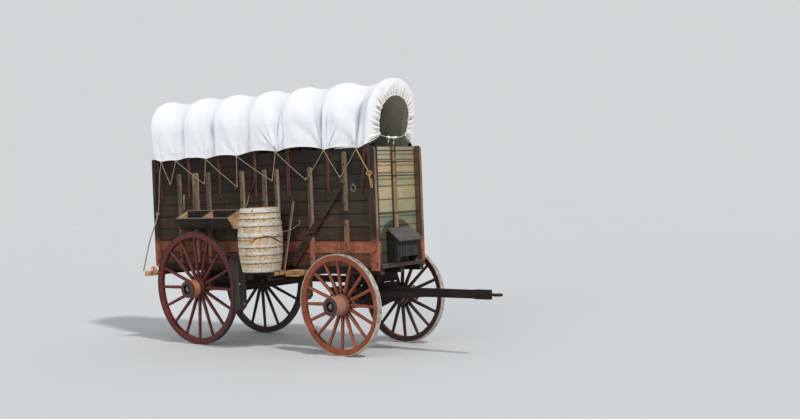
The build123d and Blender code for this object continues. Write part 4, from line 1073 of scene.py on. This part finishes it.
class WAGON_OT_irons(bpy.types.Operator):
    """Set the bolts, nuts and rings"""
    bl_idname = "wagon.irons"
    bl_label = "Bolts, nuts and rings"

    def execute(self, context):
        dark = iron("bolt_iron", "241d19", "57463a")
        heads = []
        for x, foot, top in STAKES:
            for height in np.arange(foot + 0.09, top - 0.05, BOARD * 1.5):
                place = from_axle((x, -POST, BOTTOM + height))
                heads.append(turned(round_head(0.011), place, OUTWARDS, 10))
        for x, height in ((2.585, 2.150), (2.407, 1.949), (2.173, 1.676), (1.950, 1.430), (1.803, 1.282),
                          (2.80, 2.370)):
            heads.append(turned(round_head(0.015), from_axle((x, -BRACE, height)), OUTWARDS, 12))
        mesh_piece("side_bolts", both(heads), dark, "black_iron")
        rods = []
        low, high = corners("cross_rods")
        for x in (low[0] + 0.008, high[0] - 0.008):
            for rise in (0.723, 1.236, 1.427, 1.578):
                rods.append(turned(nut(0.012), (x, -POST, BOTTOM + rise), OUTWARDS, 6))
        mesh_piece("rod_nuts", both(rods), dark, "black_iron", smooth=False)
        pale = iron("worn_iron", "6f6a62", "b5afa5", 0.45, 0.4)
        ring = ring_path(from_axle((3.012, -POST + 0.004, 2.285)), 0.042, (1, 0, 0), (0, -0.12, 0.99))
        eye = ring_path(from_axle((3.012, -POST + 0.010, 2.335)), 0.014, (0, 1, 0), (0, 0, 1), 14)
        mesh_piece("wall_rings", both([tube(ring, 0.0038, 6, True), tube(eye, 0.004, 6, True)]), pale,
                   "black_iron", form="ring")
        rod = curve(from_axle([(-0.408, -POST + 0.012, 2.270), (-0.412, -POST - 0.008, 2.255),
                               (-0.418, -POST - 0.006, 2.150), (-0.425, -POST - 0.004, 2.030)]), 16)
        mesh_piece("wall_rods", both([tube(rod, 0.0075)]), pale, "black_iron")
        knob = [(0.004, -0.030), (0.020, -0.024), (0.029, -0.008), (0.029, 0.008), (0.020, 0.024),
                (0.0005, 0.030)]
        grip = from_axle((1.771, corners("brake_lever")[0][1] - 0.020, 1.133))
        mesh_piece("lever_knobs", [turned(knob, grip, OUTWARDS, 18)], pale, "black_iron")
        face = corners("brake_shoes")[1][0]
        shoes = [turned(round_head(0.016), (face, y, z), (1, 0, 0))
                 for y, z in ((-0.775, 0.947), (-0.698, 0.650))]
        mesh_piece("shoe_bolts", both(shoes), pale, "black_iron")
        self.wall_cords(dark)
        self.axle_nuts()
        self.tyre_bolts()
        return {"FINISHED"}

    def wall_cords(self, dark):
        """A bent iron on each wall ahead of the barrel's back, with a short cord from its end."""
        points = from_axle([(1.133, -0.536, 2.437), (1.086, -0.530, 2.344), (1.036, -0.510, 2.287),
                            (0.995, -0.502, 2.251), (0.955, -0.500, 2.164), (0.912, -0.502, 2.069)])
        mesh_piece("wall_irons", both([tube(curve(points[:4], 20), 0.011)]), dark, "black_iron")
        mesh_piece("wall_cords", both([tube(curve(points[3:], 16), 0.006, 6)]),
                   rope_finish("wall_rope", "b5a488", "6b5a42"), "canvas")

    def axle_nuts(self):
        """A square nut on the end of each axle arm, inside the hub's mouth."""
        finish = iron("axle_nut_iron", "2c2a29", "8d8984", 0.35, 0.6)
        for name, body in (("rear", "wagon"), ("front", "front_gear")):
            out = np.array([0.0, -math.cos(LEAN), -math.sin(LEAN)])
            place = middle(f"tyre_{name}_right") + 0.187 * out
            mesh_piece(f"axle_nuts_{name}", both([turned(nut(0.033), place, out, 4)]), finish,
                       "black_iron", body, smooth=False)

    def tyre_bolts(self):
        """Sunk bolt heads round each tyre's tread, two to a felloe."""
        angles = (np.arange(16) + 0.25 + 0.5 * (np.arange(16) % 2)) * math.tau / 16
        for name, dark, light in (("rear", "1d1513", "3b2d29"), ("front", "4a4038", "6e6256")):
            finish = iron(name + "_tyre_bolt_iron", dark, light)
            for hand, sign in (("left", 1), ("right", -1)):
                node = f"{name}_{hand}"
                centre, radius = wheel_size(node)
                heads = []
                for angle in angles:
                    lean = sign * LEAN * math.sin(angle)
                    out = np.array([math.cos(angle), lean, math.sin(angle) * math.cos(LEAN)])
                    heads.append(turned([(0.009, -0.002), (0.008, 0.0018), (0.0005, 0.0022)],
                                        centre + radius * out, out, 8))
                mesh_piece("tyre_bolts_" + node, heads, finish, "black_iron", node + "_wheel")


# ------------------------------------------------------------------ stage


class WAGON_OT_stage(bpy.types.Operator):
    """Set the floor, the light and the camera"""
    bl_idname = "wagon.stage"
    bl_label = "Floor, light and camera"

    def execute(self, context):
        scene = context.scene
        scene.view_settings.view_transform = "Standard"
        edge = 60.0
        grid = np.array([[(-edge, -edge, 0), (-edge, edge, 0)], [(edge, -edge, 0), (edge, edge, 0)]])
        ground = Finish("ground", Roughness=0.9)
        ground.surface.inputs["Base Color"].default_value = (*looks().floor_colour, 1.0)
        floor = mesh_piece("ground", [grid], ground, None, form="sheet", smooth=False)
        world = bpy.data.worlds.new("studio")
        scene.world = world
        world.use_nodes = True
        tree = world.node_tree
        background = tree.nodes["Background"]
        background.inputs["Color"].default_value = (0.94, 0.97, 1.0, 1.0)
        background.inputs["Strength"].default_value = 0.52
        seen = tree.nodes.new("ShaderNodeBackground")
        seen.inputs["Color"].default_value = tint("d2d6d8")
        rays = tree.nodes.new("ShaderNodeLightPath")
        direct = tree.nodes.new("ShaderNodeMixShader")
        output = tree.nodes["World Output"]
        total = rays.outputs["Is Camera Ray"]
        for kind in ("Is Glossy Ray", "Is Transmission Ray"):
            either = tree.nodes.new("ShaderNodeMath")
            either.operation = "MAXIMUM"
            tree.links.new(total, either.inputs[0])
            tree.links.new(rays.outputs[kind], either.inputs[1])
            total = either.outputs[0]
        tree.links.new(total, direct.inputs[0])
        tree.links.new(background.outputs[0], direct.inputs[1])
        tree.links.new(seen.outputs[0], direct.inputs[2])
        tree.links.new(direct.outputs[0], output.inputs["Surface"])
        for name, energy, spread, towards in (("key", 1.92, 5, (-0.64, 0.20, -0.74)),
                                              ("fill", 0.78, 40, (-0.10, 0.95, -0.30))):
            lamp = bpy.data.lights.new(name, "SUN")
            lamp.energy = energy
            lamp.angle = math.radians(spread)
            light = bpy.data.objects.new(name, lamp)
            scene.collection.objects.link(light)
            light.rotation_euler = Matrix(self.look(np.array(towards))).to_euler()
        camera = bpy.data.cameras.new("camera")
        camera.sensor_width = 36.0
        camera.lens = 50.82
        camera.clip_end = 400
        view = bpy.data.objects.new("camera", camera)
        scene.collection.objects.link(view)
        yaw, pitch, roll = (math.radians(v) for v in (37.97, -1.39, -2.21))
        forward = np.array([-math.sin(yaw) * math.cos(pitch), math.cos(yaw) * math.cos(pitch),
                            math.sin(pitch)])
        right = np.cross(forward, (0, 0, 1))
        right /= np.linalg.norm(right)
        up = np.cross(right, forward)
        across = math.cos(roll) * right + math.sin(roll) * up
        upward = -math.sin(roll) * right + math.cos(roll) * up
        view.rotation_euler = Matrix(np.stack([across, upward, -forward], 1).tolist()).to_euler()
        view.location = from_axle((12.972, -12.269, 2.341))
        scene.camera = view
        return {"FINISHED"}

    def look(self, towards):
        """Axes of a lamp that shines along a direction."""
        back = -towards / np.linalg.norm(towards)
        right = np.cross((0, 0, 1), back)
        right /= np.linalg.norm(right)
        return np.stack([right, np.cross(back, right), back], 1).tolist()


class WAGON_PT_panel(bpy.types.Panel):
    """The wagon's sizes and the steps that dress it"""
    bl_label = "Covered freight wagon"
    bl_idname = "WAGON_PT_panel"
    bl_space_type = "VIEW_3D"
    bl_region_type = "UI"
    bl_category = "Wagon"

    def draw(self, context):
        for key in WagonLooks.__annotations__:
            self.layout.prop(context.scene.wagon_looks, key)
        for step in STEPS:
            self.layout.operator(step.bl_idname)


STEPS = (WAGON_OT_stage, WAGON_OT_finishes, WAGON_OT_cover, WAGON_OT_ropes, WAGON_OT_irons)
CLASSES = (WagonLooks,) + STEPS + (WAGON_PT_panel,)


def register():
    for item in CLASSES:
        bpy.utils.register_class(item)
    bpy.types.Scene.wagon_looks = bpy.props.PointerProperty(type=WagonLooks)


def unregister():
    del bpy.types.Scene.wagon_looks
    for item in reversed(CLASSES):
        bpy.utils.unregister_class(item)


def main():
    register()
    bpy.ops.wagon.stage()
    bpy.ops.wagon.finishes()
    bpy.ops.wagon.cover()
    bpy.ops.wagon.ropes()
    bpy.ops.wagon.irons()


if __name__ == "__main__":
    main()
